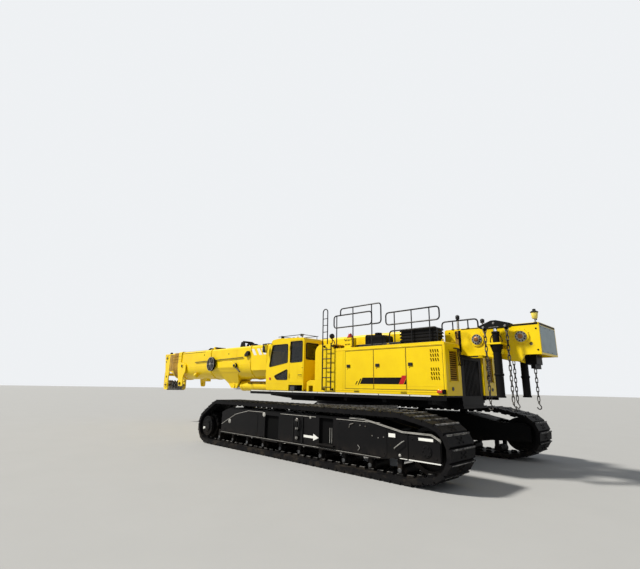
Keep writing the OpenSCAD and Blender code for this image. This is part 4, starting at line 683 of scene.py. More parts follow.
def house_doors(side):
    y = HOUSE_SIDE
    for i in (1, 2, 3):
        node = "door_%s_%d" % (side, i)
        low, high = span(node)
        latch = Piece("latch_*_%d" % i, "black_plastic", node, side, 0.003)
        x = high.x - 0.08
        latch.plate(x - 0.118, x + 0.008, 2.552, 2.638, y, 0.022)
        latch.plate(x - 0.1, x - 0.01, 2.572, 2.618, y + 0.02, 0.01)
        latch.disc(x - 0.02, 2.51, y, 0.008, 0.012)
        leaves = Piece("hinge_leaves_*_%d" % i, "yellow_paint", node, side, 0.002)
        for z in (2.32, 2.84):
            leaves.plate(low.x + 0.004, low.x + 0.045, z, z + 0.08, y, 0.004)
            leaves.bolts([(low.x + 0.025, y + 0.004, z + dz) for dz in (0.02, 0.06)], OUT, 0.006, 0.004)
        leaves.plate(low.x + 0.01, high.x - 0.01, 2.03, 2.042, y, 0.003)
        seal = Piece("door_edge_*_%d" % i, "rubber", node, side)
        seal.border(low.x, high.x, low.z, high.z, DOOR_SEAL, y, 0.0015)


def louvre_door(side):
    """The rear door, rebuilt as one sheet whose upright louvre slots are cut through."""
    node = "door_%s_3" % side
    low, high = span(node)
    xs = [low.x] + [SLOT_X0 + c * SLOT_PITCH + w for c in range(SLOT_COLUMNS) for w in (0, SLOT_W)] + [high.x]
    zs = [low.z] + [z + h for z in SLOT_ROWS for h in (0, SLOT_H)] + [high.z]
    nx, nz = len(xs), len(zs)

    def lean(i, j):
        return SLOT_LEAN if 0 < i < nx - 1 and 0 < j < nz - 1 and j % 2 == 0 else 0.0

    def solid(i, j):
        return 0 <= i < nx - 1 and 0 <= j < nz - 1 and not (i % 2 and j % 2)

    inner = min(abs(low.y), abs(high.y))
    ys = (inner, HOUSE_SIDE)
    points = [(xs[i] + lean(i, j), y, zs[j]) for j in range(nz) for i in range(nx) for y in ys]
    faces = []
    for j in range(nz - 1):
        for i in range(nx - 1):
            a = 2 * (j * nx + i)
            b, c, d = a + 2, a + 2 * nx + 2, a + 2 * nx
            if solid(i, j):
                faces += [(a, b, c, d), (a + 1, b + 1, c + 1, d + 1)]
                around = (((i, j - 1), a, b), ((i + 1, j), b, c), ((i, j + 1), c, d), ((i - 1, j), d, a))
                faces += [(p, q, q + 1, p + 1) for near, p, q in around if not solid(*near)]
    Piece("louvre_sheet_*", "yellow_paint", node, side, replaces=[node]).add(points, faces)
    # Near-black sheet behind the louvre slots: painted shade
    shade_sheet = Piece("louvre_hoods_*", "inner_black", node, side)
    shade_sheet.plate(SLOT_X0 - 0.03, SLOT_X0 + 0.3, SLOT_ROWS[0] - 0.02, SLOT_ROWS[-1] + SLOT_H + 0.02,
                inner + 0.002, 0.004)


def house_trim(side):
    """Seams, roof eyes, vents and the side lamp."""
    y = HOUSE_SIDE
    trim = Piece("house_trim_*", "yellow_paint", UPPER, side, 0.002)
    trim.plate(HOUSE_REAR + 0.01, -0.3, 1.885, 1.9, y, 0.006)
    trim.plate(HOUSE_REAR + 0.01, -0.3, 3.07, 3.085, y, 0.008)
    for x in (HOUSE_REAR + 0.02, -0.7):
        trim.plate(x, x + 0.03, 1.9, 3.07, y, 0.005)

    roof = Piece("house_roof_*", "yellow_paint", UPPER, side)
    for x in (-0.9, -1.98, -3.06):
        roof.box((x - 0.004, 0.72, ROOF), (x + 0.004, y - 0.03, ROOF + 0.006))
    for x in (-0.42, -2.28, -3.98):
        for eye in (0.85, 1.35):
            roof.turned([(0.035, 0), (0.035, 0.008)], (x, eye, ROOF), UP)
            roof.tube(circle(x, eye, ROOF + 0.032, 0.03, 12), 0.007, n=6, closed=True)
    for x in (-0.8, -1.5, -2.2, -2.9, -3.6):
        roof.bolts([(x, 0.76, ROOF), (x, 1.44, ROOF)], UP, 0.01, 0.008)

    dark = Piece("house_vents_*", "inner_black", UPPER, side)
    for x in (-1.33, -2.95):
        for z in (1.84, 1.88):
            dark.plate(x, x + 0.19, z, z + 0.025, y, 0.004)
    dark.plate(-4.075, -3.995, 1.85, 1.96, y, 0.05)
    Piece("side_lamp_*", "orange_lamp", UPPER, side, 0.008).plate(-3.985, -3.84, 1.875, 1.945, y, 0.04)


def house_rear(side):
    """Frame and louvres on the rear wall, the louvres brown and a near-black sheet behind them as painted shade,
    and a cap below them.
    """
    x = HOUSE_REAR
    y0, y1, z0, z1, wide, count = 0.86, 1.34, 2.15, 2.95, 0.03, 14
    ring = Piece("rear_frame_*", "yellow_paint", UPPER, side, 0.002)
    for ya, yb, za, zb in ((y0, y1, z0, z0 + wide), (y0, y1, z1 - wide, z1), (y0, y0 + wide, z0, z1),
                           (y1 - wide, y1, z0, z1)):
        ring.box((x - 0.012, ya, za), (x + 0.002, yb, zb))
    # Louvre slats in brown: painted shade
    slats = Piece("rear_louvres_*", "section_yellow", UPPER, side)
    for i in range(count):
        z = z0 + 0.04 + (z1 - z0 - 0.1) * i / (count - 1)
        slat = [(x + 0.004, z), (x + 0.03, z + 0.03), (x + 0.03, z + 0.036), (x + 0.004, z + 0.006)]
        slats.slab(slat, y0, y1)
    # Near-black sheet behind the louvres: painted shade
    screen = Piece("rear_screen_*", "inner_black", UPPER, side)
    screen.box((x + 0.045, y0 - 0.05, z0 - 0.05), (x + 0.05, y1 + 0.05, z1 + 0.05))
    tail = Piece("tail_cap_*", "engine_grey", UPPER, side)
    tail.turned([(0.05, 0), (0.05, 0.01), (0.04, 0.02)], (x, 1.2, 1.98), BACK)


# Roof: rails rebuilt as bent round tubes with feet, the ladder's clips and the roof boxes' parts

RAIL_R = 0.021
RAIL_BEND = 0.11


def roof_rails():
    rails = Piece("rail_tubes", "black_tube", UPPER, replaces=["roof_rails"])
    r = RAIL_R

    def bent(y, corners, closed=False):
        rails.tube([(x, y, z) for x, z in corners], r, RAIL_BEND, 10, closed, 5)

    for x0, x1, y, z0, z1 in ((-1.79, -0.22, 1.43, 3.79, 4.22), (-3.85, -2.08, 1.18, 3.75, 4.15)):
        bent(y, [(x0 + r, z0 + r), (x1 - r, z0 + r), (x1 - r, z1 - r), (x0 + r, z1 - r)], True)
    bent(1.43, [(-1.79 + r, 3.79 + r), (-2.13 + r, 3.79 + r), (-2.13 + r, 4.43 - r), (-0.5 - r, 4.43 - r),
                (-0.5 - r, 4.22 - r)])
    for x0, x1, y, foot, top in ((-3.77, -2.20, 1.18, ROOF, 3.60), (-4.62, -3.56, 0.6, WINCH_TOP, 3.80)):
        bent(y, [(x0 + r, foot), (x0 + r, top - r), (x1 - r, top - r), (x1 - r, foot)])
    posts = [(-0.36, 1.43, ROOF, 4.22), (-1.04, 1.43, ROOF, 4.43), (-1.769, 1.43, ROOF, 4.43)]
    posts += [(x, 1.18, ROOF, 4.15) for x in (-2.40, -2.97, -3.53)]
    posts += [(x, 0.6, WINCH_TOP, 3.80) for x in (-3.90, -4.33)]
    for x, y, foot, top in posts:
        rails.rod((x, y, foot), (x, y, top - r), 0.017)
    for x, y, foot in [p[:3] for p in posts] + [(-3.77 + r, 1.18, ROOF), (-2.2 - r, 1.18, ROOF)]:
        rails.turned([(0.045, 0), (0.045, 0.008)], (x, y, foot), UP, 16)
        rails.bolts([(x + dx, y, foot + 0.008) for dx in (-0.032, 0.032)], UP, 0.007, 0.008, False)


def ladder_detail():
    clips = Piece("ladder_clips", "black_tube", UPPER)
    y = HOUSE_SIDE
    for x in (-0.27, 0.1):
        for z in (DECK_TOP + 0.09, 3.24):
            clips.plate(x - 0.035, x + 0.035, z - 0.035, z + 0.035, y, 0.008)
            clips.bolts([(x + dx, y + 0.008, z) for dx in (-0.024, 0.024)], OUT, 0.007, 0.006, False)
        clips.turned([(0.024, 0), (0.024, 0.02), (0.014, 0.03)], (x, 1.59, 3.295), UP, 12)
    for x in (0.04, 0.25):
        clips.turned([(0.04, 0), (0.04, 0.008)], (x, 1.44, 3.31), UP, 16)


def roof_box_detail():
    """Bands, cap, screws and grips of the roof boxes, their hoses, the lamp box's slots and a work lamp."""
    dark = Piece("roof_box_parts", "black_paint", UPPER, bevel=0.002)
    for x in (-1.42, -1.9):
        dark.box((x - 0.02, 0.755, ROOF), (x + 0.02, 1.135, ROOF + 0.01))
        dark.box((x - 0.02, 1.13, ROOF), (x + 0.02, 1.136, 3.5))
    dark.turned([(0.11, 0), (0.11, 0.05), (0.095, 0.06), (0.095, 0.06)], (-1.65, 0.95, 3.54), UP)
    dark.bolts([(x, 1.13, z) for x in (-3.6, -3.12, -2.63) for z in (3.3, 3.47)], OUT, 0.01, 0.008)
    for x in (-2.75, -3.35):
        grip = [(x, 3.54), (x, 3.62), (x + 0.22, 3.62), (x + 0.22, 3.54)]
        dark.tube([(gx, 0.93, gz) for gx, gz in grip], 0.013, 0.05)
    dark.box((-2.55, 0.86, ROOF), (-0.96, 1.1, 3.22))
    hoses = Piece("roof_hoses", "rubber", UPPER)
    for y, z in ((1.14, 3.178), (1.2, 3.178), (1.17, 3.228)):
        sway = ((-0.96, 0), (-1.3, 0.01), (-1.7, 0), (-2.1, 0.02), (-2.6, 0))
        hoses.tube([(x, y + dy, z) for x, dy in sway], 0.028, 0.1)
    slots = Piece("lamp_box_slots", "inner_black", UPPER)
    for z in (3.24, 3.37):
        for x in (-0.89, -0.83, -0.77, -0.71):
            slots.slab([(x, z), (x + 0.032, z), (x + 0.044, z + 0.05), (x + 0.012, z + 0.05)], 1.38, 1.3825)
    lamp = Piece("roof_work_lamp", "black_plastic", UPPER)
    lamp.rod((-0.1, 1.36, ROOF), (-0.1, 1.36, 3.53), 0.014)
    lamp.turned([(0.05, 0), (0.085, 0.03), (0.085, 0.08), (0.07, 0.09)],
                (-0.05, 1.36, 3.57), (-1, 0.3, 0), 20)
    lamp.tube([(-0.1, 1.36, 3.5), (-0.02, 1.36, 3.53), (-0.2, 1.36, 3.4), (-0.24, 1.36, 3.16)], 0.014, 0.08)


# Cab: seals, door furniture, step, lamps, mirror glass and seat

CAB_SIDE, CAB_FAR, CAB_REAR = 1.5, 0.65, 1.08
CAB_Z, CAB_FLOOR, CAB_ROOF = 1.83, 1.88, 3.66
SIDE_WINDOW = [(1.92, 2.79), (2.95, 2.65), (2.79, 3.43), (1.93, 3.43)]
LOW_WINDOW = [(1.91, 2.20), (2.50, 2.20), (2.64, 2.32), (1.92, 2.55)]
DOOR_WINDOW = [(1.16, 2.80), (1.78, 2.78), (1.78, 3.50), (1.165, 3.50)]
REAR_WINDOW = [(0.80, 2.88), (1.40, 2.88), (1.41, 3.43), (0.80, 3.43)]
ROOF_WINDOW = [(2.16, 0.81), (2.58, 0.81), (2.58, 1.34), (2.16, 1.34)]
# Front of the cab as (height, place ahead)
FRONT_LINE = [(1.83, 3.08), (2.39, 3.14), (2.73, 3.128), (3.21, 3.028), (3.62, 2.84)]
SEAL_R = 0.015


def front_x(z):
    """Place of the cab's front face at a height."""
    for (z0, x0), (z1, x1) in zip(FRONT_LINE, FRONT_LINE[1:]):
        if z <= z1:
            return x0 + (x1 - x0) * (z - z0) / (z1 - z0)
    return FRONT_LINE[-1][1]


def cab_detail():
    seals = Piece("cab_seals", "rubber", "cab")
    for outline, y in ((SIDE_WINDOW, CAB_SIDE), (LOW_WINDOW, CAB_SIDE), (SIDE_WINDOW, CAB_FAR)):
        seals.tube([(x, y, z) for x, z in outline], SEAL_R, 0.06, closed=True)
    seals.tube([(CAB_REAR, y, z) for y, z in REAR_WINDOW], SEAL_R, 0.06, closed=True)
    seals.tube([(x, y, CAB_ROOF - 0.005) for x, y in ROOF_WINDOW], SEAL_R, 0.06, closed=True)
    heights = [2.31 + 0.12 * i for i in range(9)]
    front = [(front_x(z), 0.74, z) for z in heights] + [(front_x(z), 1.41, z) for z in reversed(heights)]
    seals.tube(front, 0.013, closed=True)
    seal = Piece("door_seal", "rubber", "cab_door")
    seal.tube([(x, CAB_SIDE, z) for x, z in DOOR_WINDOW], SEAL_R, 0.05, closed=True)

    handle = Piece("handle_frame", "yellow_paint", "cab_door", bevel=0.002)
    handle.border(1.14, 1.37, 2.23, 2.47, 0.008, CAB_SIDE, 0.006)
    lever = Piece("door_lever", "black_plastic", "cab_door")
    lever.tube([(1.18, CAB_SIDE, 2.36), (1.18, CAB_SIDE + 0.035, 2.36), (1.32, CAB_SIDE + 0.035, 2.35),
                (1.32, CAB_SIDE, 2.35)], 0.009, 0.02)
    lever.disc(1.15, 2.59, CAB_SIDE, 0.008, 0.016)

    cap = Piece("side_reflector", "orange_lamp", "cab")
    cap.turned([(0.05, 0), (0.05, 0.01), (0.042, 0.018)], (2.87, CAB_SIDE, 2.23), OUT)
    step = Piece("cab_step", "engine_grey", "cab", bevel=0.004)
    step.box((1.56, 1.384, CAB_Z + 0.002), (1.79, 1.46, 2.01))
    for i in range(4):
        step.box((1.57, 1.46, CAB_Z + 0.03 + 0.045 * i), (1.78, 1.468, CAB_Z + 0.04 + 0.045 * i))
    hollow = Piece("cab_step_recess", "inner_black", "cab")
    hollow.box((1.122, 1.381, CAB_Z + 0.001), (1.828, 1.384, 2.018))
    hollow.box((1.14, 1.384, CAB_Z + 0.09), (1.55, 1.49, CAB_Z + 0.1))

    lamps = Piece("cab_lamps", "black_plastic", "cab", bevel=0.006)
    lenses = Piece("cab_lenses", "lamp_lens", "cab", bevel=0.002)
    z = CAB_ROOF + 0.02
    for x, y, lens in ((2.42, 0.80, 2.45), (2.42, 1.35, 2.45), (1.36, 1.36, 1.326)):
        lamps.box((x - 0.03, y - 0.055, z), (x + 0.03, y + 0.055, z + 0.085))
        lamps.rod((x, y, z - 0.03), (x, y, z + 0.01), 0.012)
        lenses.box((lens, y - 0.047, z + 0.008), (lens + 0.004, y + 0.047, z + 0.077))
    horn = Piece("cab_roof_parts", "white_mark", "cab")
    horn.turned([(0.012, 0), (0.012, 0.03), (0.05, 0.035), (0.05, 0.075), (0.03, 0.085)],
                (1.72, 1.25, 3.625), UP)
    horn.rod((1.5, 0.95, 3.62), (1.5, 0.95, 3.73), 0.006)

    glass = Piece("mirror_glass", "mirror_glass", "cab", bevel=0.002)
    glass.box((3.042, 1.585, 3.185), (3.047, 1.735, 3.465))
    wiper = Piece("wiper", "black_plastic", "cab")
    foot, tip = Vector((front_x(2.25) + 0.012, 1.1, 2.25)), Vector((front_x(2.9) + 0.03, 1.22, 2.9))
    wiper.tube([foot, foot.lerp(tip, 0.5) + Vector((0.012, 0, 0)), tip], 0.007, n=6)
    wiper.tube([(front_x(z) + 0.022, 1.24 - 0.03 * (z - 2.6), z) for z in (2.6, 2.75, 2.9, 3.05, 3.2)],
               0.008, n=6)
    wiper.disc(foot.x, foot.z, 1.08, 0.04, 0.02)
    sill = Piece("cab_sill", "yellow_paint", "cab")
    sill.plate(1.86, 3.06, 2.062, 2.07, CAB_SIDE, 0.003)
    sill.bolts([(x, CAB_SIDE, 1.9) for x in (1.95, 2.45, 2.95)], OUT, 0.01, 0.008)


SEAT_X, SEAT_Y = 1.43, 1.075
SEAT_LEAN = -radians(78)
VOXEL, PRESSURE, FRAMES, MOST = 0.006, 4.0, 20, 0.008
CUTS, SQUARE, CROWN = 10, 0.34, 0.16


def take_shape(piece):
    """Make the modified shape the piece's own mesh."""
    shaped = piece.evaluated_get(bpy.context.evaluated_depsgraph_get())
    piece.data = bpy.data.meshes.new_from_object(shaped)
    piece.modifiers.clear()


def swell(piece):
    """Fill a pad with Blender's cloth; no point moves further than MOST, and nothing of the cloth is left."""
    scene = bpy.context.scene
    remesh = piece.modifiers.new("voxels", "REMESH")
    remesh.mode = "VOXEL"
    remesh.voxel_size = VOXEL
    take_shape(piece)
    start = [v.co.copy() for v in piece.data.vertices]
    cloth = piece.modifiers.new("cloth", "CLOTH")
    cloth.settings.use_pressure = True
    cloth.settings.uniform_pressure_force = PRESSURE
    cloth.settings.effector_weights.gravity = 0
    for step in range(1, FRAMES + 1):
        scene.frame_set(step)
    take_shape(piece)
    scene.frame_set(1)
    for vert, first in zip(piece.data.vertices, start):
        move = vert.co - first
        vert.co = first + move * min(1.0, MOST / max(move.length, 1e-9))


def cushion(name, middle, size, lean=0.0):
    """A padded cushion: a rounded box, crowned on its faces, filled, then sewn down in two channels."""
    shape = bmesh.new()
    bmesh.ops.create_cube(shape, size=2)
    bmesh.ops.subdivide_edges(shape, edges=shape.edges, cuts=CUTS, use_grid_fill=True)
    for vert in shape.verts:
        p = vert.co
        reach = max(abs(c) for c in p)
        q = p / (sum(abs(c / reach) ** (1 / SQUARE) for c in p)) ** SQUARE
        rise = 1 + CROWN * (1 - (p.x / reach) ** 2) * (1 - (p.y / reach) ** 2) * (abs(p.z) == reach)
        pull = 1 - 0.05 * (1 - min(1, abs(q.z)))
        vert.co = Vector((q.x * size[0] * pull, q.y * size[1] * pull, q.z * size[2] * rise)) / 2
    mesh = bpy.data.meshes.new(name)
    bmesh.ops.recalc_face_normals(shape, faces=shape.faces)
    shape.to_mesh(mesh)
    shape.free()
    piece = put(name, mesh)
    swell(piece)
    turn = Matrix.Rotation(lean, 3, "Y")
    for vert in piece.data.vertices:
        p = vert.co
        channel = sum(exp(-((2 * p.y / size[1] - s * 0.45) / 0.05) ** 2) for s in BOTH)
        edge = exp(-((p.z / size[2]) / 0.05) ** 2)
        inward = Vector((p.x, p.y, 0)) * (-0.03 * edge)
        sewn = Vector((0, 0, 0.009 * channel * (2 * p.z > 0.3 * size[2])))
        vert.co = Vector(middle) + turn @ (p + inward - sewn)
    piece.data.shade_smooth()
    piece.data.materials.clear()
    piece.data.materials.append(materials["seat_cloth"])
    piece.location = at(0, 0, 0)
    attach(piece, "cab")
    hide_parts("cab_seat")


def cab_seat():
    x, y, z = SEAT_X, SEAT_Y, CAB_FLOOR
    cushion("seat_cushion", (x + 0.24, y, z + 0.40), (0.52, 0.48, 0.14))
    cushion("seat_back", (x, y, z + 0.76), (0.60, 0.46, 0.12), SEAT_LEAN)
    cushion("head_rest", (x - 0.09, y, z + 1.03), (0.12, 0.26, 0.1), SEAT_LEAN)
    base = Piece("seat_base", "black_plastic", "cab", bevel=0.006, replaces=["cab_seat"])
    for i in range(6):
        low = z + 0.05 + 0.045 * i
        base.box((x + 0.03 + 0.006 * (i % 2), y - 0.17, low), (x + 0.4, y + 0.17, low + 0.04))
    base.box((x, y - 0.2, z), (x + 0.42, y + 0.2, z + 0.05))
    for mid in (y - 0.3, y + 0.3):
        console = ((0.06, 0), (0.68, 0), (0.68, 0.5), (0.6, 0.55), (0.16, 0.62), (0.06, 0.1))
        base.slab([(x + dx, z + dz) for dx, dz in console], mid - 0.05, mid + 0.05)
        stick = [(x + 0.5, mid, z + 0.56), (x + 0.51, mid, z + 0.66), (x + 0.54, mid, z + 0.76)]
        base.tube(stick, 0.014)
        base.turned([(0.015, 0), (0.028, 0.02), (0.03, 0.08), (0.02, 0.11)], stick[-1], (0.25, 0, 1), 12)
    screen = Piece("cab_display", "black_plastic", "cab", bevel=0.006)
    screen.box((2.72, 0.80, 2.56), (2.75, 1.02, 2.74))
    screen.rod((2.76, 0.91, 1.9), (2.76, 0.91, 2.6), 0.018)
    for left in (0.98, 1.14):
        screen.box((2.6, left, 1.9), (2.8, left + 0.1, 1.98))


# Boom: stripes, weld beads, reel with its cable, pads and guards

BOOM_TOP = 3.65
NOSE = 12.07
REEL = (8.47, 2.94)
COLLAR_STEP = 0.148
HEAD_COLLAR = 12.674
HEAD_SIDE = 0.55
SHEAVE = (13.495, 1.94)
GLAND_X, LUFF_Z = 6.68, 1.9587


def boom_detail():
    marks = Piece("boom_stripes", "white_mark", "boom")
    for x in (4.98, 4.60, 4.30):
        marks.slab([(x, 3.23), (x + 0.19, 3.23), (x + 0.39, 3.5), (x + 0.2, 3.5)],
                   BOOM_SIDE + 0.012, BOOM_SIDE + 0.014)
    # Rail on the boom's top in pale grey: painted sky reflection
    rail = Piece("boom_top_rail", "edge_grey", "boom", bevel=0.004)
    rail.box((9.3, 0.42, BOOM_TOP), (11.9, 0.47, BOOM_TOP + 0.03))
    knob = Piece("boom_knob", "yellow_paint", "boom", bevel=0.006)
    knob.box((9.03, 0.1, BOOM_TOP), (9.17, 0.24, BOOM_TOP + 0.17))
    knob.turned([(0.1, 0), (0.1, 0.006), (0.07, 0.012)], (6.51, 0.69, 2.83), OUT, 32)
    knob.turned([(0.1, 0), (0.12, 0.02), (0.12, 0.13), (0.09, 0.16)], (10.15, 0.5, 2.47), (0, 0.7, -0.7), 20)

    beads = Piece("boom_beads", "yellow_paint", "boom")
    dark = Piece("boom_dark_parts", "black_paint", "boom", bevel=0.003)
    for y in (-BOOM_SIDE, BOOM_SIDE):
        for x0, x1 in ((-2.4, 4.26), (5.47, 6.5), (8.8, 11.7)):
            beads.rod((x0, y, 2.85), (x1, y, 2.85), 0.006, 6)
        beads.rod((6.51, y, 3.1), (6.51, y, 3.52), 0.006, 6)
        for x, z in ((7.17, 3.37), (9.38, 3.41)):
            dark.disc(x, z, y - 0.004, 0.008, 0.035)
        # Dark strip under the rail on each side: painted shadow
        dark.plate(9.3, 11.9, 3.555, 3.58, y - 0.004, 0.008)
    for beads.flip in BOTH:
        for x in (4.3, 5.43, 8.73):
            beads.bolts([(x, BOOM_SIDE + 0.022, z) for z in (2.95, 3.2, 3.45)], OUT, 0.014, 0.012)
        for x in (NOSE - 0.26, NOSE - 0.08):
            beads.bolts([(x, BOOM_SIDE + 0.04, z) for z in (3.16, 3.3, 3.44)], OUT, 0.018, 0.016)
    for dark.flip in BOTH:
        dark.turned([(0.075, 0), (0.075, 0.02), (0.045, 0.03)], (11.58, 0.694, 2.02), OUT)
        dark.turned([(0.07, 0), (0.07, 0.012)], (11.5, 0.694, 2.92), OUT)
    for x0, x1, top in ((6.05, 6.32, 0.15), (6.36, 6.8, 0.27), (8.76, 8.96, 0.1), (9.3, 9.68, 0.1)):
        z, mid = BOOM_TOP + top, (x0 + x1) / 2
        for y in (-0.28, 0.24):
            dark.slab([(x0, BOOM_TOP), (x1, BOOM_TOP), (x1 - 0.1, z), (x0 + 0.1, z)], y, y + 0.03)
        dark.rod((mid, -0.26, z), (mid, 0.25, z), 0.045, 16)
    for y in (-0.34, -0.29):
        dark.tube([(x, y, BOOM_TOP + 0.018) for x in (-2.2, 2, 6, 11.5)], 0.014)
    for x in (-1.5, 0.5, 2.5, 4.5, 7.2, 10.4):
        dark.box((x, -0.37, BOOM_TOP), (x + 0.05, -0.26, BOOM_TOP + 0.036))


def reel_detail():
    """Three turns of cable on the reel, its spokes and rim, and the bolts of its foot."""
    x, z = REEL
    cable = Piece("reel_cable", "rubber", "cable_reel")
    rows = [(0.2, 0)]
    for d in (0.002, 0.023, 0.044):
        rows += [(0.262, d + 0.002), (0.272, d + 0.01), (0.262, d + 0.018)]
    cable.turned(rows + [(0.2, 0.065)], (x, 0.684, z), OUT, 40)
    hub = Piece("reel_hub", "edge_grey", "cable_reel")
    hub.turned([(0.055, 0), (0.055, 0.02), (0.03, 0.028)], (x, 0.764, z), OUT)
    for p, q in zip(circle(x, 0.768, z, 0.07, 6), circle(x, 0.768, z, 0.3, 6)):
        hub.rod(p, q, 0.007, 6)
    hub.tube(circle(x, 0.764, z, 0.318, 40), 0.01, n=6, closed=True)
    foot = Piece("reel_foot_bolts", "black_paint", "boom")
    foot.bolts(circle(x, BOOM_SIDE + 0.044, z, 0.095, 6), OUT, 0.01, 0.01)


def collar_detail():
    """Pad screws on the collars of the sliding sections and on the head."""
    for k in range(2, 7):
        x = NOSE + 0.078 + COLLAR_STEP * (k - 2)
        screws = Piece("collar_screws_%d" % k, "black_paint", "section_%d" % k)
        screws.bolts([(x, y, 3.658) for y in (-0.3, -0.22, 0.22, 0.3)], UP, 0.014, 0.012)
        for screws.flip in BOTH:
            screws.bolts([(x, 0.608, z) for z in (3.12, 3.28, 3.44)], OUT, 0.015, 0.014)


def head_detail():
    dark = Piece("head_parts", "black_paint", "section_6")
    x, z = SHEAVE
    for a in (40, 140, 250, 300):
        px, pz = x + 0.285 * cos(radians(a)), z + 0.285 * sin(radians(a))
        dark.rod((px, -0.5, pz), (px, 0.5, pz), 0.014)
    for y in (-0.47, 0.37):
        dark.turned([(0.08, 0), (0.09, 0.01), (0.09, 0.09), (0.08, 0.1)], (13.45, y, 3.64), OUT, 20)
    for y in (-HEAD_SIDE, HEAD_SIDE):
        dark.disc(13.52, 2.38, y - 0.004, 0.008, 0.06)
        dark.disc(13.72, 3.2, y - 0.004, 0.008, 0.05)
    for dark.flip in BOTH:
        dark.bolts(circle(x, HEAD_SIDE + 0.02, z, 0.125, 6), OUT, 0.012, 0.012)
        dark.bolts(circle(13.64, HEAD_SIDE, 3.41, 0.11, 6), OUT, 0.012, 0.012)
        # Thin dark strip on the head's side: a painted shaded groove
        dark.plate(13.0, 13.015, 2.62, 3.58, HEAD_SIDE, 0.006)
        dark.bolts([(bx, HEAD_SIDE, 3.56) for bx in (13.0, 13.2, 13.4, 13.6, 13.8)], OUT, 0.012, 0.01)
    # Brown plates on the head's sides and collar: painted shade
    worn = Piece("head_wear_plates", "section_yellow", "section_6")
    for worn.flip in BOTH:
        worn.plate(12.84, 13.3, 2.68, 3.58, HEAD_SIDE - 0.003, 0.006)
        worn.plate(HEAD_COLLAR, HEAD_COLLAR + 0.132, 2.72, 3.56, 0.604, 0.008)
    worn.box((HEAD_COLLAR, -0.5, 3.654), (HEAD_COLLAR + 0.132, 0.5, 3.662))
    edge = Piece("head_beads", "yellow_paint", "section_6")
    for y in (-HEAD_SIDE - 0.002, HEAD_SIDE + 0.002):
        edge.rod((12.85, y, 2.58), (13.28, y, 2.70), 0.007, 6)
        edge.rod((13.31, y, 2.42), (13.28, y, 1.80), 0.007, 6)
        edge.rod((13.75, y, 1.82), (13.75, y, 2.6), 0.007, 6)
    caps = Piece("sheave_pin_caps", "brass", "head_sheaves")
    for caps.flip in BOTH:
        caps.turned([(0.045, 0), (0.045, 0.012), (0.02, 0.016)], (x, 0.59, z), OUT)


def luff_detail():
    """Pipes with their clips along the luffing cylinder's barrel, and its gland with its bolts."""
    pipe = Piece("luff_pipes", "black_paint", "luff_barrel", bevel=0.002)
    z0, z1 = 2.06, 2.085
    pipe.tube([(1.15, 0.16, z0), (1.15, 0.215, z0 + 0.03), (5.9, 0.215, z1), (6.1, 0.19, z1)], 0.016, 0.05)
    pipe.tube([(1.3, -0.16, z0), (1.3, -0.215, z0 + 0.03), (5.9, -0.215, z1)], 0.016, 0.05)
    for x in (1.8, 3.2, 4.6, 5.8):
        pipe.box((x - 0.02, 0.195, z0), (x + 0.02, 0.236, z0 + 0.05))
    gland = Piece("luff_gland", "machined_steel", "luff_barrel")
    gland.turned([(0.2, 0), (0.2, 0.02), (0.155, 0.03), (0.153, 0)], (GLAND_X, 0, LUFF_Z), AHEAD, 32)
    gland.bolts(circle(GLAND_X + 0.02, 0, LUFF_Z, 0.178, 12, "x"), AHEAD, 0.011, 0.012)


# Winch frame, drums, counterweight gear and lamps

ROPE_PITCH, ROPE_TURNS = 0.024, 40
LIFT_X, LIFT_Y = -5.14, 0.88
CHAIN_X = (LIFT_X - 0.27, LIFT_X + 0.26)
CHAIN_TOP, LINK_STEP, LINKS = 3.39, 0.1177, 14
LINK_BAR, LINK_HALF, LINK_REACH, LINK_DROP = 0.0125, 0.028, 0.044, 0.085


def drum_detail():
    for node, x in WINCHES.items():
        rope = Piece(node + "_rope", "wire_rope", node)
        rows = [(0.215, 0)]
        for i in range(ROPE_TURNS):
            d = ROPE_PITCH * i
            rows += [(0.222, d + 0.001), (0.236, d + 0.3 * ROPE_PITCH), (0.236, d + 0.7 * ROPE_PITCH)]
        wide = ROPE_PITCH * ROPE_TURNS
        rope.turned(rows + [(0.215, wide)], (x, -wide / 2, WINCH_Z), OUT, 40)
        hub = Piece(node + "_bolts", "black_paint", node)
        for hub.flip in BOTH:
            hub.bolts(circle(x, WINCH_SIDE + 0.05, WINCH_Z, 0.107, 10), OUT, 0.011, 0.012)
        caps = Piece(node + "_caps", "brass", node)
        for caps.flip in BOTH:
            caps.turned([(0.062, 0), (0.062, 0.01), (0.05, 0.016), (0.03, 0.018)],
                        (x, WINCH_SIDE + 0.079, WINCH_Z), OUT)


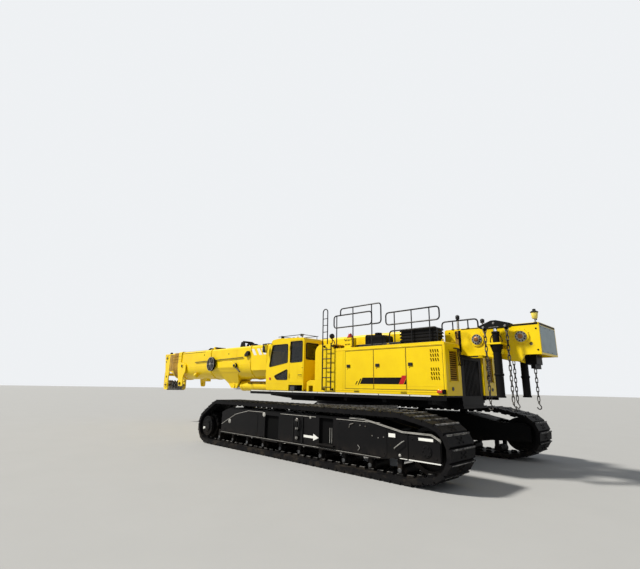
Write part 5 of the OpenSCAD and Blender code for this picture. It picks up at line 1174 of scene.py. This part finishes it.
def winch_detail():
    y = WINCH_SIDE
    dark = Piece("winch_dark_parts", "black_paint", UPPER)
    for dark.flip in BOTH:
        dark.plate(-6.03, -5.3, WINCH_TOP - 0.05, WINCH_TOP - 0.006, y - 0.003, 0.006)
        # Black plate at the frame's step: painted shade of a recess
        dark.plate(-4.12, -4.05, 2.93, 3.5, y - 0.003, 0.006)
        dark.plate(-5.0, -4.14, 3.515, 3.538, y - 0.003, 0.006)
        for x in WINCHES.values():
            dark.turned([(0.15, 0), (0.15, 0.012), (0.134, 0.018)], (x, y, WINCH_Z), OUT, 48)
        dark.bolts([(-3.8, y, 3.45), (-3.8, y, 2.95), (-5.98, y, 3.4), (-5.98, y, 2.9)], OUT, 0.014, 0.014)
        dark.tube([(-3.99, y, 3.46), (-3.99, y + 0.05, 3.46), (-4.03, y + 0.05, 3.28), (-4.08, y + 0.04, 3.3),
                   (-4.07, y, 3.36)], 0.014, 0.04)
        dark.tube([(-4.09, y, 3.14), (-4.07, y + 0.05, 3.1), (-4.0, y + 0.05, 3.0), (-3.99, y, 2.97)],
                  0.016, 0.04)
    # Black box under the frame, hiding the far plate's lobe: painted shade
    for x0, x1, z0, z1 in ((-5.76, -5.5, 2.6, 2.84), (-5.72, -5.62, 2.5, 2.6)):
        dark.box((x0, -0.34, z0), (x1, 0.1, z1))
    # Brown plates beside the black ones: painted shade of the recess
    shade = Piece("winch_joint_plates", "section_yellow", UPPER)
    for shade.flip in BOTH:
        shade.plate(-4.05, -3.96, 2.93, 3.5, y - 0.002, 0.004)
    bolts = Piece("bearing_bolts", "yellow_paint", UPPER)
    for bolts.flip in BOTH:
        for x in WINCHES.values():
            bolts.bolts(circle(x, y, WINCH_Z, 0.19, 10, start=0.13), OUT, 0.01, 0.01)

    # Rear end plate in blue grey: painted shade and sky reflection
    panel = Piece("rear_panel", "grey_panel", UPPER, bevel=0.002)
    panel.box((WINCH_REAR - 0.004, -0.57, 2.84), (WINCH_REAR, 0.57, WINCH_TOP - 0.07))
    screws = Piece("rear_panel_screws", "black_paint", UPPER)
    screws.bolts([(WINCH_REAR - 0.004, py, z) for py in (-0.53, -0.18, 0.18, 0.53) for z in (2.87, 3.44)],
                 BACK, 0.01, 0.007, False)
    screws.box((WINCH_REAR - 0.005, -0.6, WINCH_TOP - 0.055), (WINCH_REAR, 0.6, WINCH_TOP - 0.012))

    hoses = Piece("winch_hoses", "rubber", UPPER)
    for i, hy in enumerate((0.38, 0.3, 0.22, -0.26, -0.34)):
        hoses.tube([(-3.7, hy, 3.36), (-3.95 - 0.03 * i, hy, 3.42), (-4.05 - 0.02 * i, hy + 0.03, 3.2),
                    (-4.08, hy + 0.02, 2.95), (-4.0, hy, 2.9)], 0.016, 0.12, steps=5)
    for i, hy in enumerate((0.86, 0.95, 1.04)):
        hoses.tube([(-4.09, hy, 3.0), (-4.17 - 0.015 * i, hy, 3.0), (-4.19, hy - 0.05, 2.75),
                    (-4.14, hy - 0.2, 2.6), (-4.06, hy - 0.22, 2.56)], 0.014, 0.08, steps=5)
    valves = Piece("valve_block", "engine_grey", UPPER, bevel=0.004)
    valves.box((-4.14, -0.2, 2.9), (-3.92, 0.12, 3.06))
    for vy in (-0.14, -0.04, 0.06):
        valves.turned([(0.028, 0), (0.028, 0.05), (0.02, 0.06)], (-4.03, vy, 3.06), UP, 12)
    valves.box((-4.13, -0.35, 2.86), (-3.7, 0.35, 2.9))


def ring_link(x, y, top, across):
    """Path of one round-bar link whose highest point is at top; across turns it by a quarter."""
    path = []
    for p in circle(0, 0, 0, LINK_HALF, 12):
        rise = 0 if abs(p.z) < 1e-6 else LINK_REACH if p.z > 0 else -LINK_REACH
        z = top - LINK_DROP + p.z + rise
        path.append((x, y + p.x, z) if across else (x + p.x, y, z))
    return path


def chain_detail():
    """Four chains with their hooks and shackles, and the rods, yokes and collars of the lift gear."""
    chains = Piece("chain_links", "chain_steel", "lift_gear", replaces=["lift_chains"])
    pins = Piece("chain_shackles", "machined_steel", "lift_gear")
    for y in (-LIFT_Y, LIFT_Y):
        for x in CHAIN_X:
            for i in range(LINKS):
                link = ring_link(x, y, CHAIN_TOP - i * LINK_STEP, i % 2 == 0)
                chains.tube(link, LINK_BAR, n=6, closed=True)
            z = CHAIN_TOP - (LINKS - 1) * LINK_STEP - 0.17
            hook = ((0, 0.02), (0, -0.05), (-0.035, -0.09), (-0.05, -0.14), (-0.02, -0.18), (0.03, -0.175),
                    (0.055, -0.13))
            chains.tube([(x + dx, y, z + dz) for dx, dz in hook], 0.014, 0.03, steps=3)
            chains.turned([(0.024, 0), (0.024, 0.05)], (x, y, z - 0.045), UP, 12)
            shackle = ((-0.038, 3.425), (-0.034, 3.36), (0, 3.338), (0.034, 3.36), (0.038, 3.425))
            pins.tube([(x + dx, y, pz) for dx, pz in shackle], 0.011, 0.03)
            pins.rod((x - 0.055, y, 3.42), (x + 0.055, y, 3.42), 0.012)
    x = LIFT_X
    for s, number in ((-1, 1), (1, 3)):
        y, face = s * LIFT_Y, s * (LIFT_Y + 0.09)
        rod = Piece("lift_rod_%d" % number, "chrome_rod", "lift_gear")
        rod.turned([(0.052, 0), (0.052, 0.07)], (x, y, 3.365), UP)
        yoke = Piece("yoke_bolts_%d" % number, "machined_steel", "lift_gear")
        places = [(CHAIN_X[0], face, 3.475), (CHAIN_X[1], face, 3.475), (x, face, 3.56)]
        yoke.bolts(places, (0, s, 0), 0.02, 0.02)
        yoke.plate(x - 0.12, x + 0.12, 3.455, 3.47, face - 0.004, 0.008)
        collar = Piece("lift_collar_%d" % number, "black_paint", UPPER)
        collar.turned([(0.098, 0), (0.15, 0.16), (0.15, 0.175)], (x, y, 2.862), UP, 32)
        collar.bolts(circle(x, y, 3.08, 0.125, 8, "z"), UP, 0.013, 0.014)
        collar.turned([(0.1, 0), (0.112, 0.012), (0.112, 0.05), (0.1, 0.062)], (x, y, 2.3), UP, 32)
        for dx in (-0.14, 0.14):
            collar.tube([(x + dx, y, 3.08), (x + dx, y, 3.2), (x + 0.5 * dx, y, 3.3)], 0.012, 0.06)


BEACONS = [(-4.05, 3.84, 3.93), (-4.72, WINCH_TOP, 3.76)]
LAMP_Y = 0.6
LANTERN_X = -5.98
CAP = (-0.785, 1.265, 3.47)


def lamp_detail():
    """Lantern, beacons and the red cap, rebuilt with their own colours in place of the plain lamps."""
    posts, domes, lantern, cap = (Piece(name, material, UPPER, replaces=["lamps"]) for name, material in (
        ("lamp_posts", "edge_grey"), ("lamp_caps", "black_plastic"), ("lantern", "lamp_yellow"),
        ("roof_lamp_cap", "red_lamp")))
    for x, foot, top in BEACONS:
        tall = top - foot
        posts.turned([(0.034, 0), (0.034, 0.01), (0.019, 0.016), (0.019, tall - 0.12), (0.04, tall - 0.11),
                      (0.04, tall - 0.095)], (x, LAMP_Y, foot), UP, 20)
        domes.turned([(0.055, 0), (0.055, 0.018), (0.047, 0.022), (0.047, 0.03), (0.055, 0.034),
                      (0.054, 0.07), (0.04, 0.09), (0.02, 0.1)], (x, LAMP_Y, top - 0.1), UP)
    x, z = LANTERN_X, WINCH_TOP
    posts.turned([(0.04, 0), (0.04, 0.01), (0.018, 0.014), (0.018, 0.09)], (x, LAMP_Y, z), UP, 16)
    lantern.turned([(0.05, 0), (0.062, 0.012), (0.08, 0.12), (0.072, 0.15)], (x, LAMP_Y, z + 0.085), UP, 8)
    domes.turned([(0.088, 0), (0.09, 0.018), (0.07, 0.032), (0.038, 0.05), (0.036, 0.084), (0.02, 0.09)],
                 (x, LAMP_Y, z + 0.232), UP)
    domes.box((x - 0.02, LAMP_Y - 0.09, z + 0.06), (x + 0.02, LAMP_Y - 0.075, z + 0.24))
    cap.turned([(0.1, 0), (0.1, 0.012), (0.05, 0.138), (0.03, 0.15)], CAP, UP)
    ring = Piece("roof_lamp_ring", "black_paint", UPPER)
    ring.turned([(0.112, 0), (0.112, 0.008), (0.104, 0.014)], CAP, UP)
    ring.bolts([(CAP[0] + dx, 1.38, bz) for dx in (-0.135, 0.135) for bz in (3.2, 3.42)], OUT, 0.01, 0.008)
    x, foot = BEACONS[0][:2]
    ring.rod((x, LAMP_Y, foot - 0.07), (x, LAMP_Y, foot), 0.04, 20)
    post = Piece("beacon_post", "edge_grey", UPPER)
    post.turned([(0.045, 0), (0.045, 0.01), (0.03, 0.02), (0.03, 0.22)], (x, LAMP_Y, WINCH_TOP), UP, 20)


# Light, floor and background

def lamp(name, kind, power, color, way):
    data = bpy.data.lights.new(name, kind)
    data.energy = power
    data.color = color
    made = put(name, data)
    made.rotation_euler = Vector(way).to_track_quat("-Z", "Y").to_euler()
    return made


def make_studio():
    """Pale floor and backdrop, one strong key from the front left and a soft sky."""
    half = 240
    mesh = bpy.data.meshes.new("floor")
    mesh.from_pydata([(-half, -half, 0), (half, -half, 0), (half, half, 0), (-half, half, 0)], [], [range(4)])
    m = Nodes("floor")
    m.finish(m.mix(m.noise(0.8, 3), (0.40, 0.40, 0.39, 1), (0.43, 0.43, 0.42, 1)), 0.9)
    mesh.materials.append(materials["floor"])
    put("floor", mesh)

    lamp("key", "SUN", 4.55, (1.0, 0.965, 0.9), (-0.62, -0.62, -0.85)).data.angle = radians(7)
    fill = lamp("fill", "AREA", 160, (0.92, 0.95, 1.0), (14, -13, -7.5))
    fill.location = (-14, 13, 9)
    fill.data.shape = "SQUARE"
    fill.data.size = 9

    world = bpy.data.worlds.new("studio")
    bpy.context.scene.world = world
    world.use_nodes = True
    tree = world.node_tree
    back = tree.nodes["Background"]
    pale = tree.nodes.new("ShaderNodeBackground")
    for node, color, strength in ((back, (0.80, 0.86, 0.95, 1), 0.28), (pale, (0.86, 0.88, 0.90, 1), 1.0)):
        node.inputs["Color"].default_value = color
        node.inputs["Strength"].default_value = strength
    path = tree.nodes.new("ShaderNodeLightPath")
    mix = tree.nodes.new("ShaderNodeMixShader")
    seen = path.outputs["Is Camera Ray"]
    for ray in ("Is Glossy Ray", "Is Transmission Ray"):
        either = tree.nodes.new("ShaderNodeMath")
        either.operation = "MAXIMUM"
        tree.links.new(seen, either.inputs[0])
        tree.links.new(path.outputs[ray], either.inputs[1])
        seen = either.outputs[0]
    for i, source in enumerate((seen, back.outputs[0], pale.outputs[0])):
        tree.links.new(source, mix.inputs[i])
    tree.links.new(mix.outputs[0], tree.nodes["World Output"].inputs["Surface"])
    bpy.context.scene.view_settings.view_transform = "Standard"


make_camera()
make_materials()
dress_nodes()
cab_seat()
for side in SIDES:
    for detail in (track_detail, frame_detail, deck_detail, house_marks, house_doors, louvre_door, house_trim,
                   house_rear):
        detail(side)
for detail in (slew_ring_detail, roof_rails, ladder_detail, roof_box_detail, cab_detail, boom_detail,
               reel_detail, collar_detail, head_detail, luff_detail, drum_detail, winch_detail, chain_detail,
               lamp_detail):
    detail()
for piece in pieces:
    piece.make()
make_studio()
